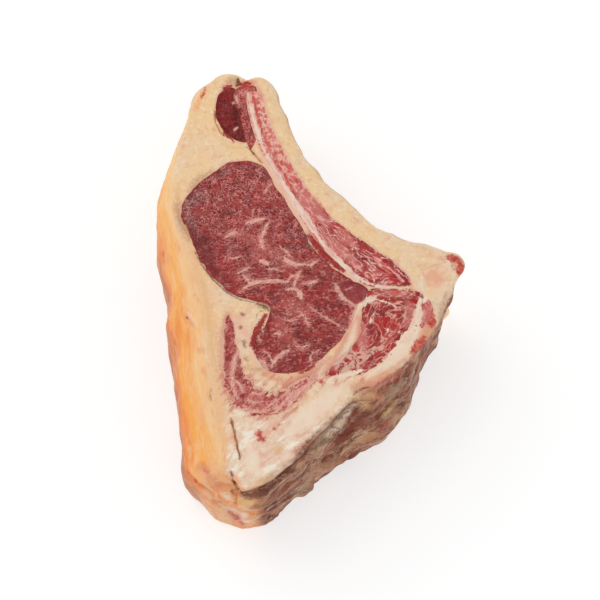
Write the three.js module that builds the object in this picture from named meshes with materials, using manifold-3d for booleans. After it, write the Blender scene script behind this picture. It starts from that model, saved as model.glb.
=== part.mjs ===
// A bone-in ribeye roast, lying on one sawn face with the other sawn face up.
// Millimetres, +Z up. The origin is at the middle of the footprint, on the surface that the roast lies on.
// +Y runs from the dorsal corner, where the fat cap meets the featherbone, to the cut end of the rib.
// -X is the fat cap's side, +X the backbone's.
import * as THREE from "three";
import { mergeVertices } from "three/addons/utils/BufferGeometryUtils.js";
import Module from "manifold-3d";

const wasm = await Module();
wasm.setup();

// Driving dimensions
const THICKNESS = 85; // between the two sawn faces
const GAP = 0.3; // between two pieces that touch
const MEAT_SINK = 1.2; // lean meat dries and shrinks below the fat's face
const BONE_SINK = 0.4; // sawn bone lies almost flush
const FOOT_RADIUS = 5; // rounding where the wall meets the lower face
const SWELL_DEPTH = 0.62; // share of the thickness at which the wall stands out furthest
const FOOT_RETURN = 0.15; // share of that swelling that is lost again at the lower face
const RELIEF_FADE = 6; // height over which the wall's relief dies out at each face

// Mesh density
const WALL_STEPS = 168;
const WALL_HEIGHTS = [0, 1.5, 5, 11, 18, 25, 32, 39, 46, 53, 60, 66, 71, 75, 78, 80.5, 82.5, 84, THICKNESS];
const PIECE_STEP = 4.5; // between two points of a piece's outline
const HOLE_OVERRUN = 2; // how far a cutting shape reaches past the faces
const CRACK_STEPS = 8;
const CRACK_TIP = 0.3; // half the width of a crack at its ends and its bottom

// Waves round the wall: how far each stands out, how many there are, their lean over the height, their start
const UNEVENNESS = [
  { rise: 0.6, waves: 11, lean: 0.05, start: 0 },
  { rise: 0.4, waves: 19, lean: -0.09, start: 1.3 },
  { rise: 0.3, waves: 31, lean: 0.14, start: 4 },
];

// The upper face's edge, anticlockwise from the rib's cut end. Each point is x, y and how far the wall below
// it swells out past the edge; shoulder is the radius that rounds the edge itself.
const EDGE = {
  ribEnd: {
    shoulder: 6,
    points: [[-29, 166.5, 1], [-38, 164.5, 1], [-46, 168, 1], [-54, 168, 1], [-60, 163, 1], [-66, 157, 1]],
  },
  fatCap: {
    shoulder: 3,
    points: [
      [-74, 142, 2.5], [-80, 116, 11], [-84, 92, 13], [-83, 67, 14], [-77, 44, 17], [-68, 22, 22],
      [-62, 0, 26.5], [-60, -25, 25], [-57, -48, 25], [-54, -68, 24], [-48, -87, 29], [-45, -106, 29.5],
    ],
  },
  dorsalCorner: { shoulder: 4, points: [[-43, -121, 12], [-36, -129, 0], [-26, -128, 0]] },
  chine: {
    shoulder: 2,
    points: [
      [-8, -115, -1], [12, -93, 3], [34, -69, 11], [50, -58, 13], [66, -46, 7], [80, -31, -3],
      [91, -15, -6.5], [98, 2, -5],
    ],
  },
  chineTip: { shoulder: 3, points: [[103, 15.5, -8], [109, 26, -8], [105, 33, -7], [97, 33.5, -5]] },
  lining: {
    shoulder: 9,
    points: [
      [83, 35.5, -3], [65, 41, 0], [49, 49.5, 2], [34.5, 61, 3], [15, 80, 3], [0, 99.5, 3], [-10, 119.5, 1],
      [-19.5, 142, 0], [-24, 158, 0],
    ],
  },
};

// Through pieces: outlines on the upper face. Each keeps its outline to the lower face, shifted towards the
// cap and slightly smaller, as the muscles taper along the back.
const LOWER_SCALE = 0.96;
const LOWER_SHIFT = [-5, 2];
const EYE = [
  [-81, 66], [-74, 81], [-62, 94], [-48, 103], [-34, 104], [-25, 99], [-15, 82], [-3, 61], [9, 39], [22, 24],
  [37, 13], [45, 6], [39, -3], [34, -16], [25, -31], [13, -43], [0, -51], [-13, -53], [-22, -50], [-30, -37],
  [-29, -27], [-24, -22], [-21, -13], [-19, -6], [-28, -1], [-41, 2], [-57, 15], [-68, 31], [-74, 48],
];
const MULTIFIDUS = [[26, 10], [33, 14], [45, 8], [44, 0], [37, -3], [30, 2]];
const TAIL = [
  [-58.5, 149], [-55.5, 157.5], [-50, 162], [-45, 161], [-41, 140], [-36.5, 119], [-46, 121.5], [-52, 127],
  [-57.5, 137],
];
const RIB_MEAT = [
  [-46.5, 156], [-44, 161.5], [-38, 163], [-31, 162.5], [-33, 134], [-30, 121], [-34, 113], [-38, 123],
  [-42, 140], [-46, 150],
];
const RIB = [
  [-36, 158], [-28, 157], [-23, 141], [-16, 123], [-7, 104], [3, 86], [17, 66], [34, 50], [51, 37], [66, 25],
  [75, 11], [62, 10], [46, 10], [30, 23], [11, 43], [-4, 70], [-18, 96], [-26, 110], [-32, 126], [-36, 144],
];
const VERTEBRA = [
  [47, 7], [62, 8], [76, 8], [86, 0], [89, -8], [80, -23], [67, -36], [52, -47], [37, -54], [16, -54],
  [21, -47], [34, -34], [40, -24], [41, -10],
];
const CHINE_BONE = [[79, 26], [88, 29], [100, 29], [102, 22], [98, 10], [92, -3], [85, 2], [82, 12]];
const SIDE_MUSCLE = [
  [-47, -10], [-43, -22], [-41, -35], [-36, -52], [-27, -63], [-14, -65], [0, -57], [12, -53], [4, -66],
  [-10, -79], [-28, -81], [-44, -76], [-50, -60], [-51, -38], [-51, -22],
];

// Cracks in the upper face: a line, the width at the face and the depth
const CRACKS = [
  { line: [[-45, -84], [-42, -93], [-41, -102], [-39, -111]], width: 2.4, depth: 9 },
  { line: [[-46, -119], [-42, -126], [-38, -131], [-37, -136]], width: 3, depth: 14 },
  { line: [[-60, 142], [-60, 134], [-56, 127]], width: 1.6, depth: 5 },
  { line: [[-34, 113], [-30, 108], [-26, 103]], width: 1.4, depth: 5 },
  { line: [[-44, 164], [-43, 168], [-42, 174]], width: 3, depth: 9 },
];

// Ridges (positive) and grooves (negative) on the wall: a line along it, the reach to each side of the line
// and how far the wall stands out there
const WALL_FORMS = [
  // Recess under the upper face's edge on the backbone's side
  {
    line: [[-34, -132, 78], [-18, -124, 77], [0, -111, 77], [16, -95, 78], [34, -78, 77]],
    reach: 4,
    rise: -2.5,
  },
  // Sawn edges of the featherbones
  { line: [[-7, -117, 67], [4, -106, 71], [14, -95, 71], [28, -81, 71]], reach: 4, rise: 1.5 },
  { line: [[40, -75, 60], [53, -66, 65], [64, -56, 69], [73, -47, 69]], reach: 7, rise: 2 },
  // Hollow and furrow between the bones and the meat below them
  { line: [[12, -100, 60], [22, -92, 58], [34, -82, 60]], reach: 6, rise: -2 },
  {
    line: [[4, -105, 44], [20, -93, 50], [33, -81, 53], [47, -72, 54], [60, -64, 58], [72, -52, 56]],
    reach: 4.5,
    rise: -3,
  },
  // Lower band of meat, with a notch and two hanging ends
  { line: [[0, -112, 24], [20, -97, 26], [40, -82, 25], [60, -68, 28], [74, -52, 32]], reach: 11, rise: 3 },
  { line: [[67, -64, 45], [68, -60, 10]], reach: 4, rise: -2.5 },
  { line: [[2, -112, 12], [5, -109, 22]], reach: 4.5, rise: 7 },
  { line: [[97, -9, 72], [96, -10, 64]], reach: 4, rise: 3.5 },
  // Grooves and folds at the dorsal corner
  { line: [[-44, -125, 80], [-41, -134, 74], [-44, -136, 66]], reach: 3.5, rise: -3 },
  { line: [[-66, -110, 70], [-58, -118, 74], [-50, -128, 78]], reach: 3.5, rise: -2 },
  { line: [[-69, -118, 60], [-58, -129, 66]], reach: 8, rise: 2 },
  { line: [[-54, -134, 68], [-50, -139, 58], [-52, -140, 46]], reach: 4, rise: -2 },
];

const loopCurve = (points) =>
  new THREE.CatmullRomCurve3(points.map(([x, y, z = 0]) => new THREE.Vector3(x, y, z)), true, "centripetal");

// A closed outline through the points, as evenly spaced 2-D points
function outline(points, step = PIECE_STEP) {
  const curve = loopCurve(points);
  const count = Math.max(12, Math.round(curve.getLength() / step));
  return curve.getSpacedPoints(count).slice(0, count).map((p) => new THREE.Vector2(p.x, p.y));
}

// The unit normals that point out of an anticlockwise loop
function outward(loop) {
  return loop.map((_, i) => {
    const before = loop[(i + loop.length - 1) % loop.length];
    const after = loop[(i + 1) % loop.length];
    return new THREE.Vector2(after.y - before.y, before.x - after.x).normalize();
  });
}

// The loop, turned anticlockwise
const anticlockwise = (loop) => (THREE.ShapeUtils.isClockWise(loop) ? [...loop].reverse() : loop);

// The loop, moved outward everywhere by the same distance
function grown(loop, distance) {
  const normals = outward(loop);
  return loop.map((p, i) => p.clone().addScaledVector(normals[i], distance));
}

// A closed shape whose skin runs through rings of equally many points, from the lowest up
function loft(rings) {
  const count = rings[0].length;
  const positions = rings.flat().flatMap((p) => [p.x, p.y, p.z]);
  const faces = [];
  for (let level = 0; level + 1 < rings.length; level++) {
    for (let i = 0; i < count; i++) {
      const a = level * count + i;
      const b = level * count + ((i + 1) % count);
      faces.push(a, b, b + count, a, b + count, a + count);
    }
  }
  const cap = (ring) => THREE.ShapeUtils.triangulateShape(ring.map((p) => new THREE.Vector2(p.x, p.y)), []);
  const top = (rings.length - 1) * count;
  for (const [a, b, c] of cap(rings[0])) faces.push(c, b, a);
  for (const [a, b, c] of cap(rings.at(-1))) faces.push(top + a, top + b, top + c);
  const geometry = new THREE.BufferGeometry();
  geometry.setAttribute("position", new THREE.Float32BufferAttribute(positions, 3));
  geometry.setIndex(faces);
  return geometry;
}

function solidOf(geometry) {
  const merged = mergeVertices(geometry, 1e-4);
  return new wasm.Manifold(
    new wasm.Mesh({
      numProp: 3,
      vertProperties: merged.attributes.position.array,
      triVerts: new Uint32Array(merged.index.array),
    }),
  );
}

function geometryOf(solid) {
  const { numProp, vertProperties, triVerts } = solid.getMesh();
  const positions = [];
  for (let i = 0; i < vertProperties.length; i += numProp) positions.push(...vertProperties.slice(i, i + 3));
  const geometry = new THREE.BufferGeometry();
  geometry.setAttribute("position", new THREE.Float32BufferAttribute(positions, 3));
  geometry.setIndex([...triVerts]);
  geometry.computeVertexNormals();
  return geometry;
}

// How far a quarter round of this radius stands out at a distance in from its start
const quarterRound = (reach, radius) => radius * Math.sqrt(1 - (1 - Math.min(reach / radius, 1)) ** 2);

// Share of the wall's swelling at a share of the depth
function swelling(depth) {
  if (depth < SWELL_DEPTH) return Math.sin((Math.PI / 2) * (depth / SWELL_DEPTH));
  return 1 - FOOT_RETURN * ((depth - SWELL_DEPTH) / (1 - SWELL_DEPTH)) ** 2;
}

// Slow unevenness of the whole wall, in millimetres
function lumps(angle, height) {
  let sum = 0;
  for (const { rise, waves, lean, start } of UNEVENNESS) {
    sum += rise * Math.sin(waves * angle + lean * height + start);
  }
  return sum;
}

// Distance from a point to an open line
function distanceTo(line, point) {
  const nearest = new THREE.Vector3();
  let best = Infinity;
  for (let i = 0; i + 1 < line.length; i++) {
    const [from, to] = [line[i], line[i + 1]].map((p) => new THREE.Vector3(...p));
    new THREE.Line3(from, to).closestPointToPoint(point, true, nearest);
    best = Math.min(best, nearest.distanceTo(point));
  }
  return best;
}

// How far the wall stands out at a point of the plain wall; it fades out at both faces
function wallRelief(point, along) {
  const fade = Math.min(1, (THICKNESS - point.z) / RELIEF_FADE) * Math.min(1, point.z / RELIEF_FADE);
  let relief = lumps(2 * Math.PI * along, point.z);
  for (const { line, reach, rise } of WALL_FORMS) {
    relief += rise * Math.exp(-((distanceTo(line, point) / reach) ** 2));
  }
  return relief * fade;
}

// The whole roast: the edge's loop, lofted down with its shoulder, swelling and relief
function roastSolid() {
  const sides = Object.values(EDGE);
  const curve = loopCurve(sides.flatMap((side) => side.points));
  const shoulders = loopCurve(
    sides.flatMap(({ shoulder, points }) => points.map(([x, y]) => [x, y, shoulder])),
  );
  const stations = curve.getSpacedPoints(WALL_STEPS).slice(0, WALL_STEPS);
  const normals = outward(stations);
  const rings = WALL_HEIGHTS.map((height) =>
    stations.map((station, i) => {
      const along = i / WALL_STEPS;
      const depth = THICKNESS - height;
      const shoulder = shoulders.getPointAt(along).z;
      const out =
        quarterRound(depth, shoulder) + station.z * swelling(depth / THICKNESS) -
        (FOOT_RADIUS - quarterRound(height, FOOT_RADIUS));
      const normal = new THREE.Vector3(normals[i].x, normals[i].y, 0);
      const plain = new THREE.Vector3(station.x, station.y, height).addScaledVector(normal, out);
      return plain.addScaledVector(normal, wallRelief(plain, along));
    }),
  );
  return solidOf(loft(rings));
}

// The loop at a height: it shifts and shrinks on its way down
function tapered(loop, height) {
  const share = 1 - height / THICKNESS;
  const scale = 1 + (LOWER_SCALE - 1) * share;
  const [dx, dy] = LOWER_SHIFT;
  return loop.map((p) => new THREE.Vector3(p.x * scale + dx * share, p.y * scale + dy * share, height));
}

// A piece that runs through the roast, and the slightly larger hole that it lies in
function throughPiece(points, sink) {
  const loop = anticlockwise(outline(points));
  const wide = grown(loop, GAP);
  return {
    plug: solidOf(loft([0, THICKNESS - sink].map((height) => tapered(loop, height)))),
    hole: solidOf(loft([-HOLE_OVERRUN, THICKNESS + HOLE_OVERRUN].map((height) => tapered(wide, height)))),
  };
}

// A wedge that opens a crack in the upper face; it closes towards its bottom and its two ends
function crackSolid({ line, width, depth }) {
  const curve = new THREE.CatmullRomCurve3(line.map(([x, y]) => new THREE.Vector3(x, y, 0)));
  const blade = (share, height) => {
    const left = [];
    const right = [];
    for (let i = 0; i <= CRACK_STEPS; i++) {
      const t = i / CRACK_STEPS;
      const p = curve.getPoint(t);
      const along = curve.getTangent(t);
      const half = CRACK_TIP + (width / 2) * share * Math.sin(Math.PI * t);
      left.push(new THREE.Vector3(p.x - along.y * half, p.y + along.x * half, height));
      right.push(new THREE.Vector3(p.x + along.y * half, p.y - along.x * half, height));
    }
    return [...right, ...left.reverse()];
  };
  return solidOf(loft([blade(0, THICKNESS - depth), blade(1, THICKNESS + HOLE_OVERRUN)]));
}

const finish = (color, roughness) => new THREE.MeshStandardMaterial({ color, roughness, metalness: 0 });
const FAT = finish(0xe3c79c, 0.5);
const LEAN = finish(0x8c2f33, 0.45);
const DARK_LEAN = finish(0x5e2226, 0.45);
const BONE = finish(0xd9938a, 0.6);
const PALE_BONE = finish(0xe8cdb4, 0.55);

// Inner pieces in the order in which they claim their room: a later one gives way to those before it
const PIECES = [
  { name: "rib_bone", points: RIB, sink: BONE_SINK, material: BONE },
  { name: "vertebra", points: VERTEBRA, sink: BONE_SINK, material: BONE },
  { name: "chine_bone", points: CHINE_BONE, sink: BONE_SINK, material: PALE_BONE },
  { name: "multifidus_muscle", points: MULTIFIDUS, sink: MEAT_SINK, material: DARK_LEAN },
  { name: "eye_muscle", points: EYE, sink: MEAT_SINK, material: LEAN },
  { name: "side_muscle", points: SIDE_MUSCLE, sink: MEAT_SINK, material: LEAN },
  { name: "rib_meat", points: RIB_MEAT, sink: MEAT_SINK, material: LEAN },
  { name: "tail_muscle", points: TAIL, sink: MEAT_SINK, material: DARK_LEAN },
];

const solids = new Map();
let fat = roastSolid();
let claimed = null;
for (const { name, points, sink } of PIECES) {
  const { plug, hole } = throughPiece(points, sink);
  solids.set(name, claimed ? plug.subtract(claimed) : plug);
  claimed = claimed ? claimed.add(hole) : hole;
}
fat = fat.subtract(claimed);
for (const crack of CRACKS) fat = fat.subtract(crackSolid(crack));

const roast = new THREE.Group();
const addMesh = (name, solid, material) => {
  const mesh = new THREE.Mesh(geometryOf(solid), material);
  mesh.name = name;
  roast.add(mesh);
};
addMesh("fat_cover", fat, FAT);
for (const { name, material } of PIECES) addMesh(name, solids.get(name), material);

// The origin goes to the middle of the footprint
const box = new THREE.Box3().setFromObject(roast);
const middle = box.getCenter(new THREE.Vector3());
roast.position.set(-middle.x, -middle.y, -box.min.z);

export default roast;
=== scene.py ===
import logging
import math
from dataclasses import dataclass, field
from enum import Enum
from typing import Any, Iterable, Optional, Sequence, Union

import bpy
import numpy as np
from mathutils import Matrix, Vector
from mathutils.bvhtree import BVHTree
from mathutils.geometry import delaunay_2d_cdt
from mathutils.kdtree import KDTree


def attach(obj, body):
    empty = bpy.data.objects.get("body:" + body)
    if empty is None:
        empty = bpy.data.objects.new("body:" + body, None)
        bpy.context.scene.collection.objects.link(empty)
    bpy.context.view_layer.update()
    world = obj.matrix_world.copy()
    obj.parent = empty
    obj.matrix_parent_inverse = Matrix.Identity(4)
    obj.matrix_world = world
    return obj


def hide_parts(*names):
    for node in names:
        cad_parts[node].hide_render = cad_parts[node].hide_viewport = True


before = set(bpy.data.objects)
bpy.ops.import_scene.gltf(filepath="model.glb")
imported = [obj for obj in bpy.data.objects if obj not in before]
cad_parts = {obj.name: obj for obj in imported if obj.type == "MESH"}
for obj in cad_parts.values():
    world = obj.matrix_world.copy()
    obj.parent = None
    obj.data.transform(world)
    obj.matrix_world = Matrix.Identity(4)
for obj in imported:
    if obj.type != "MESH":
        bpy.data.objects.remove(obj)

# The roast is drawn in millimetres, as in the part's source. Its drawing lies a little off the part's origin.
MILLIMETRE = 0.001
DRAWING_ORIGIN = np.array([-5.33, -20.88, 0.0])
THICKNESS = 85.0
FOOT_RADIUS = 5.0
SWELL_DEPTH = 0.62
FOOT_RETURN = 0.15
RELIEF_FADE = 6.0
LOWER_SCALE = 0.96
LOWER_SHIFT = np.array([-5.0, 2.0])

# How fine the skin is, and the distance that stands for nothing near
WALL_STEPS = 860
FACE_STEP = 1.1
UNDER_STEP = 3.5
SHARP_ANGLE = 62.0
SAME_POINT = 1e-5
FAR = 30.0

Colour = tuple[float, float, float]
Pixel = tuple[float, float]
Number = Union[float, np.ndarray]
Term = Union["Signal", float, Colour]

# Layers of noise, each with its strength, its seed and its wavelength
Ripples = tuple[tuple[float, int, float], ...]

# A name, sizes, and then a line's columns and rows in the photograph
Stroke = tuple[Union[str, float], ...]

# Values or links of a node's sockets
Inputs = dict[Union[int, str], Any]

log = logging.getLogger("ribeye_roast")


class Side(Enum):
    """The stretches of the outer wall, anticlockwise from the rib's cut end."""

    RIB_END = "rib_end"
    FAT_CAP = "fat_cap"
    DORSAL_CORNER = "dorsal_corner"
    CHINE = "chine"
    CHINE_TIP = "chine_tip"
    LINING = "lining"


class Stain(Enum):
    """What a mark on the surface shows, some marks painted shade, and the name of the distance that the mesh
    carries for it.
    """

    PALE = "pale"
    RED = "red"
    LEAN = "lean"
    PINK = "pink"
    # dark lines and spots: painted shade in cracks, creases, notches, pores and beside the fat's lip, and
    # some darker meat
    DARK = "dark"
    # brown lines and patches: painted shade in creases and grooves and beside the cap and the fat's lip, and
    # dry brown edges
    BROWN = "brown"
    GREY = "grey"
    HONEY = "honey"
    PEACH = "peach"
    TAN = "tan"
    RUST = "rust"
    ORANGE = "orange"
    AMBER = "amber"
    ROSE = "rose"
    # painted shade: dark brown in the outer wall's recesses, grooves and dents, over the dry brown there
    PAINTED_SHADE = "painted_shade"


@dataclass(frozen=True)
class EdgeSide:
    """One side of the upper face's edge: its rounding, and points of x, y and the wall's swelling below."""

    side: Side
    shoulder: float
    points: tuple[tuple[float, float, float], ...]


@dataclass(frozen=True)
class WallForm:
    """A ridge or groove on the wall: its line, its reach to each side and how far it stands out."""

    line: tuple[tuple[float, float, float], ...]
    reach: float
    rise: float


@dataclass(frozen=True)
class Crack:
    """An open crack in the upper face: its line, its width and its depth."""

    line: tuple[tuple[float, float], ...]
    width: float
    depth: float


EDGE = (
    EdgeSide(
        Side.RIB_END,
        6,
        ((-29, 166.5, 1), (-38, 164.5, 1), (-46, 168, 1), (-54, 168, 1), (-60, 163, 1), (-66, 157, 1)),
    ),
    EdgeSide(
        Side.FAT_CAP,
        3,
        (
            (-74, 142, 2.5), (-80, 116, 11), (-84, 92, 13), (-83, 67, 14), (-77, 44, 17), (-68, 22, 22),
            (-62, 0, 26.5), (-60, -25, 25), (-57, -48, 25), (-54, -68, 24), (-48, -87, 29), (-45, -106, 29.5),
        ),
    ),
    EdgeSide(Side.DORSAL_CORNER, 4, ((-43, -121, 12), (-36, -129, 0), (-26, -128, 0))),
    EdgeSide(
        Side.CHINE,
        2,
        (
            (-8, -115, -1), (12, -93, 3), (34, -69, 11), (50, -58, 13), (66, -46, 7), (80, -31, -3),
            (91, -15, -6.5), (98, 2, -5),
        ),
    ),
    EdgeSide(Side.CHINE_TIP, 3, ((103, 15.5, -8), (109, 26, -8), (105, 33, -7), (97, 33.5, -5))),
    EdgeSide(
        Side.LINING,
        9,
        (
            (83, 35.5, -3), (65, 41, 0), (49, 49.5, 2), (34.5, 61, 3), (15, 80, 3), (0, 99.5, 3),
            (-10, 119.5, 1), (-19.5, 142, 0), (-24, 158, 0),
        ),
    ),
)

WALL_FORMS = (
    WallForm(((-34, -132, 78), (-18, -124, 77), (0, -111, 77), (16, -95, 78), (34, -78, 77)), 4, -2.5),
    WallForm(((-7, -117, 67), (4, -106, 71), (14, -95, 71), (28, -81, 71)), 4, 1.5),
    WallForm(((40, -75, 60), (53, -66, 65), (64, -56, 69), (73, -47, 69)), 7, 2),
    WallForm(((12, -100, 60), (22, -92, 58), (34, -82, 60)), 6, -2),
    WallForm(
        ((4, -105, 44), (20, -93, 50), (33, -81, 53), (47, -72, 54), (60, -64, 58), (72, -52, 56)), 4.5, -3,
    ),
    WallForm(((0, -112, 24), (20, -97, 26), (40, -82, 25), (60, -68, 28), (74, -52, 32)), 11, 3),
    WallForm(((67, -64, 45), (68, -60, 10)), 4, -2.5),
    WallForm(((2, -112, 12), (5, -109, 22)), 4.5, 7),
    WallForm(((97, -9, 72), (96, -10, 64)), 4, 3.5),
    WallForm(((-44, -125, 80), (-41, -134, 74), (-44, -136, 66)), 3.5, -3),
    WallForm(((-66, -110, 70), (-58, -118, 74), (-50, -128, 78)), 3.5, -2),
    WallForm(((-69, -118, 60), (-58, -129, 66)), 8, 2),
    WallForm(((-54, -134, 68), (-50, -139, 58), (-52, -140, 46)), 4, -2),
)

CRACKS = (
    Crack(
        (
            (-44.6, -85.5), (-43.6, -89.7), (-42.5, -93.2), (-42.2, -96.6), (-40.9, -100.1), (-40.6, -104.2),
            (-39.3, -107.7), (-38.8, -111.8),
        ),
        1.2, 5,
    ),
    Crack(((-46, -119), (-42, -126), (-38, -131)), 3, 7),
    Crack(((-58.8, 143), (-58.6, 135), (-54.6, 126.5), (-52, 124)), 1.0, 3),
    Crack(((-34, 113), (-30, 108), (-26, 103)), 0.9, 3),
    Crack(((-44, 164), (-43, 168), (-42, 172)), 2.4, 6),
)


@dataclass(frozen=True)
class Viewpoint:
    """Where the photograph is taken from, in the drawing's millimetres."""

    elevation: float = 66.0
    distance: float = 1500.0
    lens: float = 135.0
    sensor: float = 36.0
    picture: float = 600.0
    target: tuple[float, float, float] = (0.0, 0.0, THICKNESS)

    def axes(self) -> tuple[np.ndarray, np.ndarray, np.ndarray]:
        """Gives the view's unit vectors.

        Returns:
            Right, up and forward.
        """
        tilt = math.radians(self.elevation)
        right = np.array([1.0, 0.0, 0.0])
        up = np.array([0.0, math.sin(tilt), math.cos(tilt)])
        forward = np.array([0.0, math.cos(tilt), -math.sin(tilt)])
        return right, up, forward

    def eye(self) -> np.ndarray:
        """Gives the camera's place."""
        return np.array(self.target) - self.distance * self.axes()[2]

    def ray(self, pixel: Pixel) -> np.ndarray:
        """Gives the direction that a pixel of the photograph looks in.

        Args:
            pixel: Column and row.

        Returns:
            A unit vector.
        """
        right, up, forward = self.axes()
        focal = self.lens / self.sensor * self.picture
        middle = self.picture / 2
        direction = forward + right * (pixel[0] - middle) / focal + up * (middle - pixel[1]) / focal
        return direction / np.linalg.norm(direction)

    def on_face(self, pixel: Pixel) -> np.ndarray:
        """Gives the point of the upper face's plane that a pixel shows.

        Args:
            pixel: Column and row.

        Returns:
            A point in the drawing.
        """
        direction = self.ray(pixel)
        eye = self.eye()
        return eye + direction * (THICKNESS - eye[2]) / direction[2]


VIEW = Viewpoint()


# In the studio's light a surface shows LIGHT times its own colour, and a pale GLEAM over it
LIGHT = 0.86
GLEAM = 0.035
DARKEST = 0.004


def seen(shown: int) -> Colour:
    """Gives a surface's own colour from the colour that it shows on a screen.

    Args:
        shown: Red, green and blue, two digits each.

    Returns:
        The colour for its finish.
    """
    channels = [(shown >> shift & 255) / 255 for shift in (16, 8, 0)]
    lit = [((value + 0.055) / 1.055) ** 2.4 for value in channels]
    red, green, blue = (max(DARKEST, (value - GLEAM) / LIGHT) for value in lit)
    return red, green, blue


def to_metres(points: np.ndarray) -> np.ndarray:
    """Moves points from the drawing's millimetres to the part's frame in metres."""
    return (points + DRAWING_ORIGIN) * MILLIMETRE


def smoothstep(low: float, high: float, value: np.ndarray) -> np.ndarray:
    """Gives 0 at low, 1 at high and a smooth way between."""
    share = np.clip((value - low) / (high - low), 0, 1)
    return share * share * (3 - 2 * share)


class LatticeNoise:
    """Smooth noise between -1 and 1, the same on every run."""

    SIZE = 32

    def __init__(self, seed: int) -> None:
        """Draws the lattice from the start of its random draw."""
        self._table = np.random.default_rng(seed).random((self.SIZE,) * 3) * 2 - 1

    def at(self, points: np.ndarray, wavelength: float) -> np.ndarray:
        """Reads the noise.

        Args:
            points: Rows of x, y, z.
            wavelength: Distance between two lattice points.

        Returns:
            One value for each row.
        """
        scaled = points / wavelength
        base = np.floor(scaled).astype(int)
        share = smoothstep(0, 1, scaled - base)
        total = np.zeros(len(points))
        for corner in range(8):
            offset = np.array([(corner >> axis) & 1 for axis in range(3)])
            weight = np.prod(np.where(offset, share, 1 - share), axis=1)
            i, j, k = ((base + offset) % self.SIZE).T
            total += weight * self._table[i, j, k]
        return total


@dataclass
class ClosedCurve:
    """A smooth closed curve through points, centripetal Catmull-Rom."""

    points: Sequence[Sequence[float]]
    fineness: int = 40

    def _samples(self) -> tuple[np.ndarray, np.ndarray]:
        """Walks the curve in small steps.

        Returns:
            The samples, first again at the end, and the length up to each.
        """
        p1 = np.array(self.points, float)
        p0, p2, p3 = np.roll(p1, 1, 0), np.roll(p1, -1, 0), np.roll(p1, -2, 0)
        gap0, gap1, gap2 = (
            np.sqrt(np.linalg.norm(b - a, axis=1))[:, None] for a, b in ((p0, p1), (p1, p2), (p2, p3))
        )
        slope1 = ((p1 - p0) / gap0 - (p2 - p0) / (gap0 + gap1) + (p2 - p1) / gap1) * gap1
        slope2 = ((p2 - p1) / gap1 - (p3 - p1) / (gap1 + gap2) + (p3 - p2) / gap2) * gap1
        square = -3 * p1 + 3 * p2 - 2 * slope1 - slope2
        cube = 2 * p1 - 2 * p2 + slope1 + slope2
        t = np.linspace(0, 1, self.fineness, endpoint=False)[None, :, None]
        curve = p1[:, None] + slope1[:, None] * t + square[:, None] * t**2 + cube[:, None] * t**3
        curve = curve.reshape(-1, p1.shape[1])
        closed = np.vstack([curve, curve[:1]])
        lengths = np.concatenate([[0], np.cumsum(np.linalg.norm(np.diff(closed, axis=0), axis=1))])
        return closed, lengths

    def length(self) -> float:
        """Gives the length of the curve."""
        return float(self._samples()[1][-1])

    def spaced(self, count: int) -> np.ndarray:
        """Places points at even distances.

        Args:
            count: How many points.

        Returns:
            The points, one a row.
        """
        closed, lengths = self._samples()
        at = np.arange(count) * lengths[-1] / count
        return np.stack([np.interp(at, lengths, column) for column in closed.T], axis=1)

    def share_at(self, index: int) -> float:
        """Gives the share of the way round at which a given point lies."""
        lengths = self._samples()[1]
        return float(lengths[index * self.fineness] / lengths[-1])


def along_line(points: np.ndarray, step: float) -> np.ndarray:
    """Places points along an open line at about even distances, its own points kept.

    Args:
        points: The line's points.
        step: Distance between two of the new points.

    Returns:
        The points.
    """
    parts = []
    for start, end in zip(points[:-1], points[1:]):
        count = max(1, round(float(np.linalg.norm(end - start)) / step))
        parts.append(start + (end - start) * np.arange(count)[:, None] / count)
    return np.vstack([*parts, points[-1:]])


def place_on_line(points: np.ndarray, line: np.ndarray) -> tuple[np.ndarray, np.ndarray]:
    """Finds where points lie by an open line.

    Args:
        points: Rows of coordinates.
        line: The line's points, as long as a row.

    Returns:
        For each row its distance from the line, and the share of the line's length where it is nearest.
    """
    best = np.full(len(points), np.inf)
    place = np.zeros(len(points))
    lengths = np.linalg.norm(np.diff(line, axis=0), axis=1)
    before = 0.0
    for start, end, length in zip(line[:-1], line[1:], lengths):
        way = end - start
        share = np.clip((points - start) @ way / max(float(way @ way), 1e-9), 0, 1)
        away = np.linalg.norm(points - start - share[:, None] * way, axis=1)
        place = np.where(away < best, (before + share * length) / lengths.sum(), place)
        best = np.minimum(best, away)
        before += length
    return best, place


def distance_to_line(points: np.ndarray, line: Sequence[Sequence[float]]) -> np.ndarray:
    """Measures how far points lie from an open line."""
    return place_on_line(points, np.array(line, float))[0]


def hump(distance: np.ndarray, reach: float) -> np.ndarray:
    """Gives 1 at no distance and falls off over a reach."""
    return np.exp(-((distance / reach) ** 2))


def inside(points: np.ndarray, loop: np.ndarray) -> np.ndarray:
    """Tells which points lie inside a closed loop.

    Args:
        points: Rows of x, y.
        loop: The loop's corners.

    Returns:
        True or False for each row.
    """
    low, high = loop.min(0), loop.max(0)
    near = np.flatnonzero(((points >= low) & (points <= high)).all(1))
    x, y = points[near].T
    odd = np.zeros(len(near), bool)
    for (x0, y0), (x1, y1) in zip(loop, np.roll(loop, -1, 0)):
        if y0 == y1:
            continue
        crosses = ((y0 > y) != (y1 > y)) & (x < (x1 - x0) * (y - y0) / (y1 - y0) + x0)
        odd ^= crosses
    result = np.zeros(len(points), bool)
    result[near] = odd
    return result


def nearest_distance(points: np.ndarray, others: np.ndarray) -> np.ndarray:
    """Measures how far points of a plane lie from the nearest of some others.

    Args:
        points: Rows of x, y.
        others: The others, rows of x, y.

    Returns:
        One distance for each row.
    """
    tree = KDTree(len(others))
    for i, (x, y) in enumerate(others):
        tree.insert((x, y, 0), i)
    tree.balance()
    return np.array([tree.find((x, y, 0))[2] for x, y in points])


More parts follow.
